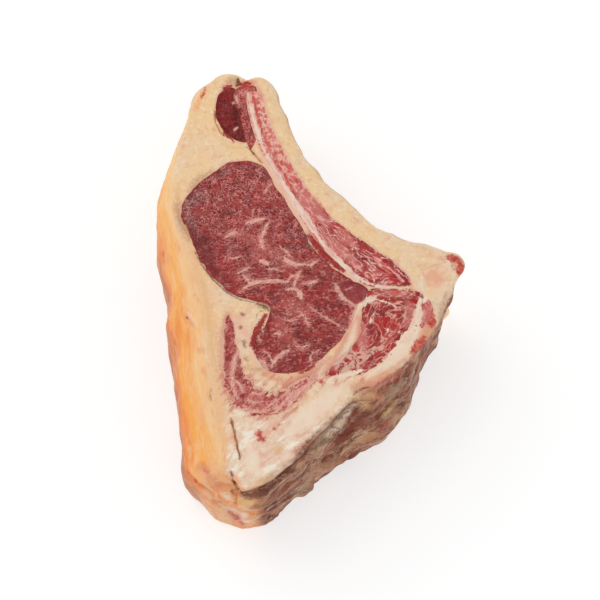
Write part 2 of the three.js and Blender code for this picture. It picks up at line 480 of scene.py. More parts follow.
def clear_points(grid: np.ndarray, loop: np.ndarray, fixed: np.ndarray, clearance: float) -> np.ndarray:
    """Keeps the points of a grid that lie inside a loop and clear of some fixed points."""
    grid = grid[inside(grid, loop)]
    return grid[nearest_distance(grid, fixed) > clearance]


def triangulated(
    points: np.ndarray, edges: list[tuple[int, int]]
) -> tuple[np.ndarray, np.ndarray, list[list[int]]]:
    """Cuts the plane round some points into triangles.

    Args:
        points: Rows of x, y.
        edges: Pairs of points between which an edge has to run.

    Returns:
        The corners, the triangles, and the given points that each corner stands for.
    """
    result = delaunay_2d_cdt([Vector(p) for p in points.tolist()], edges, [], 0, SAME_POINT)
    triangles = [face for face in result[2] if len(face) == 3]
    return np.array([tuple(p) for p in result[0]]), np.array(triangles), result[3]


def outward(loop: np.ndarray, reach: int = 1) -> np.ndarray:
    """Finds the directions across a closed line, outward where it runs anticlockwise.

    Args:
        loop: The line's points.
        reach: How many points back and on the line's own direction is taken from.

    Returns:
        A unit vector for each point.
    """
    way = np.roll(loop, -reach, 0) - np.roll(loop, reach, 0)
    normals = np.stack([way[:, 1], -way[:, 0]], 1)
    return normals / np.linalg.norm(normals, axis=1)[:, None]


def at_height(points: np.ndarray, height: Number = 0.0) -> np.ndarray:
    """Gives points of a plane one height, or a height each."""
    return np.column_stack([points, np.broadcast_to(height, len(points))])


def rippled(points: np.ndarray, ripples: Ripples) -> np.ndarray:
    """Adds up layers of noise at rows of x, y, z."""
    return sum(strength * LatticeNoise(seed).at(points, wavelength) for strength, seed, wavelength in ripples)


def lowered(points: np.ndarray) -> np.ndarray:
    """Gives where an inner piece's outline lies on the lower face."""
    return points * LOWER_SCALE + LOWER_SHIFT


def quarter_round(reach: Number, radius: Number) -> Number:
    """Tells how far a quarter round stands out at a distance in from its start."""
    return radius * np.sqrt(1 - (1 - np.minimum(reach / radius, 1)) ** 2)


def swelling(depth: float) -> float:
    """Gives the share of the wall's swelling at a share of the depth.

    Args:
        depth: 0 at the upper face and 1 at the lower.

    Returns:
        Up to 1 at the swelling's depth, and a little less again at the foot.
    """
    if depth < SWELL_DEPTH:
        return math.sin(math.pi / 2 * depth / SWELL_DEPTH)
    return 1 - FOOT_RETURN * ((depth - SWELL_DEPTH) / (1 - SWELL_DEPTH)) ** 2


def placed(name: str, data: bpy.types.ID) -> bpy.types.Object:
    """Puts a mesh, a light or a camera into the scene as an object."""
    thing = bpy.data.objects.new(name, data)
    bpy.context.scene.collection.objects.link(thing)
    return thing


@dataclass
class SkinMesh:
    """Points, faces and the values that the points carry, before they become a piece of the scene."""

    points: np.ndarray
    faces: list[tuple[int, ...]]
    values: dict[str, np.ndarray] = field(default_factory=dict)

    def piece(self, name: str, material: bpy.types.Material) -> bpy.types.Object:
        """Makes the piece.

        Args:
            name: The piece's name.
            material: Its finish.

        Returns:
            The new object, smooth but for its hard edges.
        """
        mesh = bpy.data.meshes.new(name)
        mesh.from_pydata(to_metres(self.points).tolist(), [], self.faces)
        mesh.polygons.foreach_set("use_smooth", np.ones(len(mesh.polygons), bool))
        mesh.set_sharp_from_angle(angle=math.radians(SHARP_ANGLE))
        for key, value in self.values.items():
            attribute = mesh.attributes.new(key, "FLOAT", "POINT")
            attribute.data.foreach_set("value", value.astype(np.float32))
        mesh.materials.append(material)
        mesh.update()
        return placed(name, mesh)


@dataclass
class OuterWall:
    """The roast's outer wall, from the upper face's edge down to the lower face.

    A wave is given by its rise, its number round the wall, its lean and its start. The rings are given by
    their depths near the upper face, by one step in the middle and by their heights near the foot.
    """

    waves: tuple[tuple[float, float, float, float], ...] = (
        (0.6, 11, 0.05, 0.0), (0.4, 19, -0.09, 1.3), (0.3, 31, 0.14, 4.0),
    )
    nibbles: Ripples = ((0.45, 15, 8.0), (0.25, 16, 3.6))
    furrows: Ripples = ((1.3, 3, 10.0), (0.7, 4, 4.5))
    crags: Ripples = ((0.5, 5, 5.0), (0.25, 6, 2.6))
    lobes: Ripples = ((0.6, 7, 16.0), (0.26, 8, 6.0))
    swells: Ripples = ((0.7, 10, 24.0), (0.2, 8, 7.0))
    fine: Ripples = ((0.12, 9, 3.5),)
    furrow_stretch: float = 2.2
    corner_dryness: float = 0.7
    tip_dryness: float = 0.5
    fold_fade: float = 3.0
    furrow_fade: float = 5.0
    foot_fade: float = 4.0
    upper_depths: tuple[float, ...] = (
        0.0, 0.03, 0.1, 0.22, 0.42, 0.7, 1.1, 1.6, 2.2, 3.0, 3.9, 4.9, 6.0, 7.2, 8.5,
    )
    ring_step: float = 1.1
    foot_heights: tuple[float, ...] = (4.2, 3.2, 2.3, 1.5, 0.9, 0.45, 0.15, 0.0)
    normal_reach: int = 5
    side_lead: float = 5.0
    chine_lead: float = 26.0
    side_blur: int = 9
    blurs: int = 3
    stations: np.ndarray = field(init=False)
    normals: np.ndarray = field(init=False)
    points: np.ndarray = field(init=False)
    values: dict[str, np.ndarray] = field(init=False)

    def heights(self) -> np.ndarray:
        """Gives the levels of the wall's rings, closest together where it curves."""
        middle = np.arange(THICKNESS - self.upper_depths[-1], FOOT_RADIUS, -self.ring_step)[1:]
        return np.concatenate([THICKNESS - np.array(self.upper_depths), middle, self.foot_heights])

    def build(self) -> None:
        """Works out the rings' points and the values along the wall."""
        curve = ClosedCurve([point for side in EDGE for point in side.points])
        rounding = ClosedCurve([(x, y, side.shoulder) for side in EDGE for x, y, _ in side.points])
        self.stations = curve.spaced(WALL_STEPS)
        nibbled = rippled(at_height(self.stations[:, :2]), self.nibbles)
        self.normals = outward(self.stations[:, :2], self.normal_reach)
        self.stations[:, :2] += self.normals * nibbled[:, None]
        shoulder = rounding.spaced(WALL_STEPS)[:, 2]
        self.points = np.vstack([self._ring(height, shoulder) for height in self.heights()])
        self.values = self._places(curve)
        self._fold()
        self._roughen()

    def tree(self) -> BVHTree:
        """Gives the wall in a form that rays can meet."""
        return BVHTree.FromPolygons([tuple(p) for p in self.points.tolist()], self.faces())

    def pointed_at(self, numbers: Sequence[float], tree: BVHTree) -> np.ndarray:
        """Finds the points of the face or the wall that the photograph's pixels show.

        Args:
            numbers: Column and row of every pixel.
            tree: The wall's tree.

        Returns:
            The points, one a row.
        """
        line = []
        for pixel in zip(numbers[::2], numbers[1::2]):
            point = VIEW.on_face(pixel)
            if not inside(point[None, :2], self.stations[:, :2])[0]:
                hit = tree.ray_cast(Vector(VIEW.eye()), Vector(VIEW.ray(pixel)))[0]
                point = np.array(hit if hit is not None else tree.find_nearest(Vector(point))[0])
            line.append(point)
        return np.array(line)

    def _ring(self, height: float, shoulder: np.ndarray) -> np.ndarray:
        """Works out one ring of the wall, with the slow waves and the named ridges and grooves.

        Args:
            height: The ring's level.
            shoulder: The upper edge's rounding at every station.

        Returns:
            The ring's points.
        """
        depth = THICKNESS - height
        out = (
            quarter_round(depth, shoulder)
            + self.stations[:, 2] * swelling(depth / THICKNESS)
            - (FOOT_RADIUS - quarter_round(height, FOOT_RADIUS))
        )
        ring = at_height(self.stations[:, :2] + self.normals * out[:, None], height)
        share = np.arange(WALL_STEPS) / WALL_STEPS
        relief = np.zeros(WALL_STEPS)
        for rise, number, lean, start in self.waves:
            relief += rise * np.sin(number * 2 * np.pi * share + lean * height + start)
        for form in WALL_FORMS:
            relief += form.rise * hump(distance_to_line(ring, form.line), form.reach)
        fade = min(1, depth / RELIEF_FADE) * min(1, height / RELIEF_FADE)
        ring[:, :2] += self.normals * (relief * fade)[:, None]
        return ring

    def _push(self, out: np.ndarray, fade: float) -> None:
        """Moves the wall's points outward, less and less towards the upper face and the foot.

        Args:
            out: How far, for every point.
            fade: The depth at which the points first move the whole way.
        """
        height = self.points[:, 2]
        out = out * (np.clip((THICKNESS - height) / fade, 0, 1) * np.clip(height / self.foot_fade, 0, 1))
        self.points[:, :2] += np.tile(self.normals, (len(self.heights()), 1)) * out[:, None]

    def _fold(self) -> None:
        """Presses the fine folds into the wall."""
        tree = self.tree()
        out = np.zeros(len(self.points))
        for _, reach, rise, *numbers in FOLDS:
            out += rise * hump(distance_to_line(self.points, self.pointed_at(numbers, tree)), reach)
        self._push(out, self.fold_fade)

    def _places(self, curve: ClosedCurve) -> dict[str, np.ndarray]:
        """Gives each point its way along the wall, its depth and the sides that it belongs to.

        Args:
            curve: The upper face's edge.

        Returns:
            The values by name.
        """
        heights = self.heights()
        along = np.arange(WALL_STEPS) / WALL_STEPS * curve.length()
        values = {"along": np.tile(along, len(heights)), "depth": np.repeat(THICKNESS - heights, WALL_STEPS)}
        blur = self.side_blur
        index = 0
        for side in EDGE:
            lead = self.chine_lead if side.side is Side.CHINE else self.side_lead
            start = curve.share_at(index) * WALL_STEPS - lead
            index += len(side.points)
            end = (curve.share_at(index) if index < len(curve.points) else 1.0) * WALL_STEPS - self.side_lead
            member = np.zeros(WALL_STEPS)
            member[np.arange(round(start), round(end)) % WALL_STEPS] = 1
            for _ in range(self.blurs):
                member = sum(np.roll(member, shift) for shift in range(-blur, blur + 1)) / (2 * blur + 1)
            values[side.side.value] = np.tile(member, len(heights))
        return values

    def _roughen(self) -> None:
        """Adds the finer furrows of the dry side and the soft lobes of the fat side."""
        points, on = self.points, {side: self.values[side.value] for side in Side}
        dry = on[Side.CHINE] + self.corner_dryness * on[Side.DORSAL_CORNER]
        dry += self.tip_dryness * on[Side.CHINE_TIP]
        soft = on[Side.FAT_CAP] + on[Side.DORSAL_CORNER]
        outer = on[Side.LINING] + on[Side.RIB_END]
        rolled = at_height(np.column_stack([self.values["along"] / self.furrow_stretch, points[:, 2]]))
        out = (
            dry * (rippled(rolled, self.furrows) + rippled(points, self.crags))
            + soft * rippled(points, self.lobes)
            + outer * rippled(points, self.swells)
            + rippled(points, self.fine)
        )
        self._push(out, self.furrow_fade)

    def faces(self) -> list[tuple[int, ...]]:
        """Joins the rings into faces.

        Returns:
            The faces, the first ring being the highest.
        """
        i = np.arange(WALL_STEPS)
        after = (i + 1) % WALL_STEPS
        rows = []
        for level in range(len(self.heights()) - 1):
            upper, lower = level * WALL_STEPS, (level + 1) * WALL_STEPS
            rows.append(np.column_stack([upper + i, lower + i, lower + after, upper + after]))
        return [tuple(row) for row in np.vstack(rows).tolist()]


@dataclass
class InnerPiece:
    """A muscle or bone that runs through the roast and shows on both cut faces."""

    name: str
    slot: str
    sink: float
    softness: float
    wiggle: float
    outline: tuple[tuple[float, float], ...]
    uneven: Ripples = ((1.0, 11, 6.0), (0.5, 12, 2.6))

    def loop(self) -> np.ndarray:
        """Draws its outline on the upper face, with a slight natural unevenness.

        Returns:
            The outline's points.
        """
        curve = ClosedCurve(self.outline)
        points = curve.spaced(round(curve.length() / FACE_STEP))
        return points + outward(points) * (self.wiggle * rippled(at_height(points), self.uneven))[:, None]


PIECES = (
    InnerPiece(
        "rib_bone", "red_bone", 0.4, 1.2, 0.35,
        (
            (-36, 158), (-28, 157), (-23, 141), (-16, 123), (-7, 104), (3, 86), (17, 66), (34, 50), (51, 37),
            (66, 25), (75, 11), (62, 10), (46, 10), (30, 23), (11, 43), (-4, 70), (-18, 96), (-26, 110),
            (-32, 126), (-36, 144),
        ),
    ),
    InnerPiece(
        "vertebra", "red_bone", 0.4, 1.2, 0.6,
        (
            (47, 7), (62, 8), (76, 8), (86, 0), (89, -8), (80, -23), (67, -36), (52, -47), (37, -54),
            (16, -54), (21, -47), (34, -34), (40, -24), (41, -10),
        ),
    ),
    InnerPiece(
        "chine_bone", "pale_bone", 0.0, 2.0, 0.4,
        ((79, 26), (88, 29), (100, 29), (102, 22), (98, 10), (92, -3), (85, 2), (82, 12)),
    ),
    InnerPiece(
        "multifidus_muscle", "dark_meat", 1.2, 1.8, 0.4,
        ((26, 10), (33, 14), (45, 8), (44, 0), (37, -3), (30, 2)),
    ),
    InnerPiece(
        "eye_muscle", "lean_meat", 1.2, 1.8, 0.75,
        (
            (-81, 66), (-74, 81), (-62, 94), (-48, 103), (-34, 104), (-25, 99), (-15, 82), (-3, 61), (9, 39),
            (22, 24), (37, 13), (45, 6), (39, -3), (34, -16), (25, -31), (13, -43), (0, -51), (-13, -53),
            (-22, -50), (-30, -37), (-29, -27), (-24, -22), (-21, -13), (-19, -6), (-28, -1), (-41, 2),
            (-57, 15), (-68, 31), (-74, 48),
        ),
    ),
    InnerPiece(
        "side_muscle", "lean_meat", 1.2, 2.2, 1.1,
        (
            (-47, -10), (-43, -22), (-41, -35), (-36, -52), (-27, -63), (-14, -65), (0, -57), (12, -53),
            (4, -66), (-10, -79), (-28, -81), (-44, -76), (-50, -60), (-51, -38), (-51, -22),
        ),
    ),
    InnerPiece(
        "rib_meat", "lean_meat", 1.2, 1.2, 0.4,
        (
            (-46.5, 156), (-44, 161.5), (-38, 163), (-31, 162.5), (-33, 134), (-30, 121), (-34, 113),
            (-38, 123), (-42, 140), (-46, 150),
        ),
    ),
    InnerPiece(
        "tail_muscle", "dark_meat", 1.2, 1.5, 0.4,
        (
            (-58.5, 149), (-55.5, 157.5), (-50, 162), (-45, 161), (-41, 140), (-36.5, 119), (-46, 121.5),
            (-52, 127), (-57.5, 137),
        ),
    ),
)
FAT = len(PIECES)


@dataclass
class CutFace:
    """The sawn upper face, cut into small triangles along every outline, streak and crack."""

    edge: np.ndarray
    streaks: list[np.ndarray]
    seed: int = 21
    jitter: float = 0.18
    clearance: float = 0.6
    points: np.ndarray = field(init=False)
    triangles: np.ndarray = field(init=False)
    regions: np.ndarray = field(init=False)
    ring: np.ndarray = field(init=False)
    rim: np.ndarray = field(init=False)
    seams: dict[int, np.ndarray] = field(init=False)

    def build(self) -> None:
        """Triangulates the face and sorts the triangles by piece."""
        loops = [piece.loop() for piece in PIECES]
        lines = [(self.edge, True)] + [(loop, True) for loop in loops]
        lines += [(line, False) for line in self.streaks]
        points, edges = self._constraints(lines)
        filling = clear_points(self._grid(), self.edge, points, self.clearance * FACE_STEP)
        self.points, triangles, origins = triangulated(np.vstack([points, filling]), edges)
        middles = self.points[triangles].mean(1)
        keep = inside(middles, self.edge)
        self.triangles, middles = triangles[keep], middles[keep]
        self.regions = np.full(len(self.triangles), FAT)
        for index in reversed(range(len(PIECES))):
            self.regions[inside(middles, loops[index])] = index
        corner = {point: now for now, points_there in enumerate(origins) for point in points_there}
        self.ring = np.array([corner[i] for i in range(len(self.edge))])
        self._measure_rims()

    @staticmethod
    def _constraints(lines: Iterable[tuple[np.ndarray, bool]]) -> tuple[np.ndarray, list[tuple[int, int]]]:
        """Joins lines and loops into one list of points and edges.

        Args:
            lines: The lines' points, each with a word on whether it closes.

        Returns:
            All points, and the edges as pairs of points.
        """
        points, edges, start = [], [], 0
        for line, closed in lines:
            count = len(line)
            points.append(line)
            edges += [(start + i, start + i + 1) for i in range(count - 1)]
            if closed:
                edges.append((start + count - 1, start))
            start += count
        return np.vstack(points), edges

    def _grid(self) -> np.ndarray:
        """Spreads points over the face in rows, every other one shifted and all a little uneven.

        Returns:
            The points.
        """
        low, high = self.edge.min(0), self.edge.max(0)
        rows = np.arange(low[1], high[1], FACE_STEP * math.sqrt(3) / 2)
        x, y = np.meshgrid(np.arange(low[0], high[0], FACE_STEP), rows)
        x = x + (np.arange(len(rows)) % 2)[:, None] * FACE_STEP / 2
        grid = np.column_stack([x.ravel(), y.ravel()])
        return grid + np.random.default_rng(self.seed).uniform(-self.jitter, self.jitter, grid.shape)

    def _measure_rims(self) -> None:
        """Finds each piece's seam and every point's distance to the nearest one that shows as a step."""
        self.seams = {}
        stepped = []
        for region in range(FAT + 1):
            chosen = self.triangles[self.regions == region]
            edges = np.vstack([chosen[:, [0, 1]], chosen[:, [1, 2]], chosen[:, [2, 0]]])
            _, first, count = np.unique(np.sort(edges, axis=1), axis=0, return_index=True, return_counts=True)
            self.seams[region] = edges[first[count == 1]]
            if region != FAT and PIECES[region].sink:
                stepped.append(self.seams[region].ravel())
        self.rim = self.away_from(np.concatenate(stepped))

    def away_from(self, seam: np.ndarray) -> np.ndarray:
        """Gives the distance of every point of the face from the nearest point of a seam."""
        return nearest_distance(self.points, self.points[np.unique(seam)])


@dataclass(frozen=True)
class Mark:
    """A streak or spot: what it shows, its width, and its line on the face or the wall."""

    stain: Stain
    width: float
    line: np.ndarray


@dataclass
class Marks:
    """All streaks and spots, put on the roast's surface.

    Narrow marks on the upper face get edges of their own there. A point counts as one of the upper face down
    to a small depth, and a mark is measured only within a margin of it.
    """

    wall: OuterWall
    unevenness: Ripples = ((0.3, 41, 3.0),)
    tips: float = 0.4
    narrow: float = 4.0
    level: float = 0.01
    depth: float = 2.0
    margin: float = 14.0
    marks: list[Mark] = field(default_factory=list)

    def place(self, strokes: dict[Stain, tuple[Stroke, ...]]) -> None:
        """Finds where each mark lies on the face or the wall.

        Args:
            strokes: The marks of each stain, by the photograph's pixels.
        """
        tree = self.wall.tree()
        for stain, rows in strokes.items():
            for _, width, *numbers in rows:
                self.marks.append(Mark(stain, width, self.wall.pointed_at(numbers, tree)))

    def on_face(self) -> list[np.ndarray]:
        """Finds the narrow marks that lie on the upper face.

        Returns:
            Their lines, in small steps.
        """
        found = []
        for mark in self.marks:
            line = mark.line
            if len(line) > 1 and mark.width < self.narrow and (line[:, 2] > THICKNESS - self.level).all():
                found.append(along_line(line[:, :2], FACE_STEP))
        return found

    def distances(self, points: np.ndarray) -> dict[str, np.ndarray]:
        """Measures the distance to the nearest mark's border for each kind of stain.

        Args:
            points: Rows of x, y, z in the drawing.

        Returns:
            For each stain's name the distances, below 0 inside a mark.
        """
        values = {stain.value: np.full(len(points), FAR) for stain in Stain}
        sunk = points.copy()
        sunk[:, 2] = np.where(points[:, 2] > THICKNESS - self.depth, THICKNESS, points[:, 2])
        wobble = 1 + rippled(sunk, self.unevenness)
        for mark in self.marks:
            line, half = mark.line, mark.width / 2
            reach = half + self.margin
            near = np.flatnonzero((sunk > line.min(0) - reach).all(1) & (sunk < line.max(0) + reach).all(1))
            if len(near):
                away, share = place_on_line(sunk[near], line)
                swell = self.tips + (1 - self.tips) * np.sin(np.pi * share) if len(line) > 2 else 1.0
                kept = values[mark.stain.value]
                kept[near] = np.minimum(kept[near], away - half * swell * wobble[near])
        return values


class Signal:
    """A value or colour on its way through a material; sums and products of it add nodes."""

    def __init__(self, graph: "Graph", socket: bpy.types.NodeSocket) -> None:
        """Wraps a socket of the graph."""
        self.graph = graph
        self.socket = socket

    def _math(self, operation: str, first: Term, second: Term = 0.0) -> "Signal":
        """Adds one Math node."""
        return self.graph.add("ShaderNodeMath", {"operation": operation}, {0: first, 1: second})

    def __add__(self, other: Term) -> "Signal":
        """Sum."""
        return self._math("ADD", self, other)

    __radd__ = __add__

    def __sub__(self, other: Term) -> "Signal":
        """Difference."""
        return self._math("SUBTRACT", self, other)

    def __rsub__(self, other: Term) -> "Signal":
        """Difference from a number."""
        return self._math("SUBTRACT", other, self)

    def __mul__(self, other: Term) -> "Signal":
        """Product."""
        return self._math("MULTIPLY", self, other)

    __rmul__ = __mul__

    def most(self, other: Term) -> "Signal":
        """The larger of two."""
        return self._math("MAXIMUM", self, other)

    def swing(self, reach: float = 1.0) -> "Signal":
        """Turns noise between 0 and 1 into a push of up to a reach to both sides."""
        return (self - 0.5) * (2.0 * reach)

    def near(self, middle: float, width: float) -> "Signal":
        """Is 1 at a value and falls to 0 at a width from it, which turns noise into winding lines."""
        return self._math("ABSOLUTE", self - middle).between(width, 0.0)

    def between(self, low: float, high: float) -> "Signal":
        """Rises smoothly from 0 at low to 1 at high, or falls where low is the larger."""
        ends = {1: low, 2: high, 3: 0.0, 4: 1.0} if low < high else {1: high, 2: low, 3: 1.0, 4: 0.0}
        return self.graph.add("ShaderNodeMapRange", {"interpolation_type": "SMOOTHSTEP"}, {0: self, **ends})


@dataclass(frozen=True)
class Lustre:
    """How a surface takes light: how strongly it mirrors, and how much light wanders below it and how far.

    The radius is that of red light in millimetres. Green light goes a share of it, and blue light a share of
    green's.
    """

    mirroring: float
    weight: float
    radius: float
    green: float
    blue: float = 0.6


class Graph:
    """The node tree of one material, with a Principled shader at its end."""

    def __init__(self, name: str) -> None:
        """Starts an empty material."""
        self.material = bpy.data.materials.new(name)
        self.material.use_nodes = True
        self.tree = self.material.node_tree
        self.shader = self.tree.nodes["Principled BSDF"]
        self.place = self.add("ShaderNodeTexCoord", {}, {}, "Object")

    def add(
        self,
        kind: str,
        settings: dict[str, Any],
        inputs: Inputs,
        output: Union[int, str] = 0,
    ) -> Signal:
        """Adds any node.

        Args:
            kind: The node's type.
            settings: Its settings, set first; stops are a ramp's places and colours.
            inputs: Values or signals by socket.
            output: The socket whose signal is wanted.

        Returns:
            The signal of that output.
        """
        node = self.tree.nodes.new(kind)
        for key, value in settings.items():
            if key == "stops":
                self._set_stops(node, value)
            else:
                setattr(node, key, value)
        self.feed(node, inputs)
        return Signal(self, node.outputs[output])

    @staticmethod
    def _set_stops(node: bpy.types.Node, stops: Sequence[tuple[float, Colour]]) -> None:
        """Sets a colour ramp's stops.

        Args:
            node: The ramp.
            stops: Places and colours.
        """
        elements = node.color_ramp.elements
        while len(elements) < len(stops):
            elements.new(0.5)
        for element, (place, colour) in zip(elements, stops):
            element.position = place
            element.color = (*colour, 1.0)

    def feed(self, node: bpy.types.Node, inputs: Inputs) -> None:
        """Links signals to a node's sockets or sets their values.

        Args:
            node: The node.
            inputs: Values or signals by socket.
        """
        for key, value in inputs.items():
            socket = node.inputs[key]
            if isinstance(value, Signal):
                self.tree.links.new(value.socket, socket)
            elif isinstance(value, tuple) and socket.type == "RGBA":
                socket.default_value = (*value, 1.0)
            else:
                socket.default_value = value

    def carried(self, name: Union[str, Enum]) -> Signal:
        """Reads a value that the mesh carries."""
        key = name.value if isinstance(name, Enum) else name
        return self.add("ShaderNodeAttribute", {"attribute_name": key}, {}, "Fac")

    def within(self, name: Union[str, Enum], push: Signal, low: float, high: float) -> Signal:
        """Shades between two sizes of a carried value, which a push makes ragged."""
        return (self.carried(name) + push).between(low, high)

    def noise(
        self, wavelength: float, detail: float = 2.0, rough: float = 0.5, at: Optional[Signal] = None
    ) -> Signal:
        """Adds noise between 0 and 1.

        Args:
            wavelength: The length of its waves in millimetres.
            detail: How many finer layers it has.
            rough: How strong each finer layer is against the last.
            at: The place that it is read at, if not the piece's own.

        Returns:
            The noise.
        """
        scale = 1 / (wavelength * MILLIMETRE)
        inputs = {"Vector": at or self.place, "Scale": scale, "Detail": detail, "Roughness": rough}
        return self.add("ShaderNodeTexNoise", {}, inputs)

    def vector(self, operation: str, inputs: Inputs) -> Signal:
        """Adds one Vector Math node."""
        return self.add("ShaderNodeVectorMath", {"operation": operation}, inputs)

    def turned(
        self, angle: float, stretch: tuple[float, float, float], at: Optional[Signal] = None
    ) -> Signal:
        """Turns the place about Z and stretches it, so that patterns run along a direction.

        Args:
            angle: The direction in degrees.
            stretch: How much a step counts along it, across it and upwards.
            at: The place, if not the piece's own.

        Returns:
            The turned place.
        """
        inputs = {"Vector": at or self.place, "Rotation": (0.0, 0.0, math.radians(angle))}
        turn = self.add("ShaderNodeMapping", {"vector_type": "TEXTURE"}, inputs)
        return self.vector("MULTIPLY", {0: turn, 1: stretch})

    def warped(self, wavelength: float, strength: float) -> Signal:
        """Gives the place, pushed about by noise.

        Args:
            wavelength: The noise's wavelength in millimetres.
            strength: How far it pushes, in millimetres.

        Returns:
            The moved place.
        """
        scale = 1 / (wavelength * MILLIMETRE)
        inputs = {"Vector": self.place, "Scale": scale, "Detail": 2.0}
        cloud = self.add("ShaderNodeTexNoise", {}, inputs, "Color")
        centred = self.vector("SUBTRACT", {0: cloud, 1: (0.5, 0.5, 0.5)})
        push = self.vector("SCALE", {0: centred, "Scale": strength * MILLIMETRE * 2})
        return self.vector("ADD", {0: self.place, 1: push})

    def rolled(self, along: float, across: float = 1.0, push: Term = 0.0) -> Signal:
        """Gives the place on the rolled-out wall, in metres.

        Args:
            along: How much the pattern is drawn out along the wall.
            across: How much it is drawn out down the wall.
            push: Millimetres added to the depth.

        Returns:
            The place.
        """
        x = self.carried("along") * (MILLIMETRE / along)
        y = (self.carried("depth") + push) * (MILLIMETRE / across)
        return self.add("ShaderNodeCombineXYZ", {}, {0: x, 1: y})

    def beside(self, name: Union[str, Enum], stretch: float, push: Term = 0.0) -> Signal:
        """Gives a place in which patterns run along a border, by the carried distance from it."""
        lift = self.add("ShaderNodeCombineXYZ", {}, {2: (self.carried(name) + push) * MILLIMETRE})
        return self.vector("ADD", {0: self.vector("SCALE", {0: self.place, "Scale": stretch}), 1: lift})

    def northing(self, low: float, high: float) -> Signal:
        """Shades between two places along the roast's length, in metres."""
        return self.add("ShaderNodeSeparateXYZ", {}, {0: self.place}, 1).between(low, high)

    def mix(self, share: Term, under: Term, over: Term) -> Signal:
        """Lays a colour over another."""
        return self.add("ShaderNodeMix", {"data_type": "RGBA"}, {0: share, 6: under, 7: over}, 2)

    def layered(self, colour: Signal, *coats: tuple[Signal, Term]) -> Signal:
        """Lays coats over a colour, each by its share and its own colour.

        Args:
            colour: The lowest colour.
            coats: Shares and colours, from below upwards.

        Returns:
            The colour that shows.
        """
        for share, tint in coats:
            colour = self.mix(share, colour, tint)
        return colour

    def ramp(self, value: Signal, stops: Sequence[tuple[float, Colour]]) -> Signal:
        """Turns a value into a colour by stops."""
        return self.add("ShaderNodeValToRGB", {"stops": stops}, {0: value})

    def finish(
        self, colour: Signal, roughness: Term, relief: Signal, depth: float, lustre: Lustre
    ) -> bpy.types.Material:
        """Feeds the shader.

        Args:
            colour: The base colour.
            roughness: The roughness.
            relief: Relief between 0 and 1.
            depth: The relief's depth in millimetres.
            lustre: How the surface takes light.

        Returns:
            The material.
        """
        inputs = {"Strength": 1.0, "Distance": depth * MILLIMETRE, "Height": relief}
        bump = self.add("ShaderNodeBump", {}, inputs)
        self.feed(self.shader, {
            "Base Color": colour,
            "Roughness": roughness,
            "Normal": bump,
            "Specular IOR Level": lustre.mirroring,
            "Subsurface Weight": lustre.weight,
            "Subsurface Scale": lustre.radius * MILLIMETRE,
            "Subsurface Radius": (1.0, lustre.green, lustre.green * lustre.blue),
        })
        return self.material


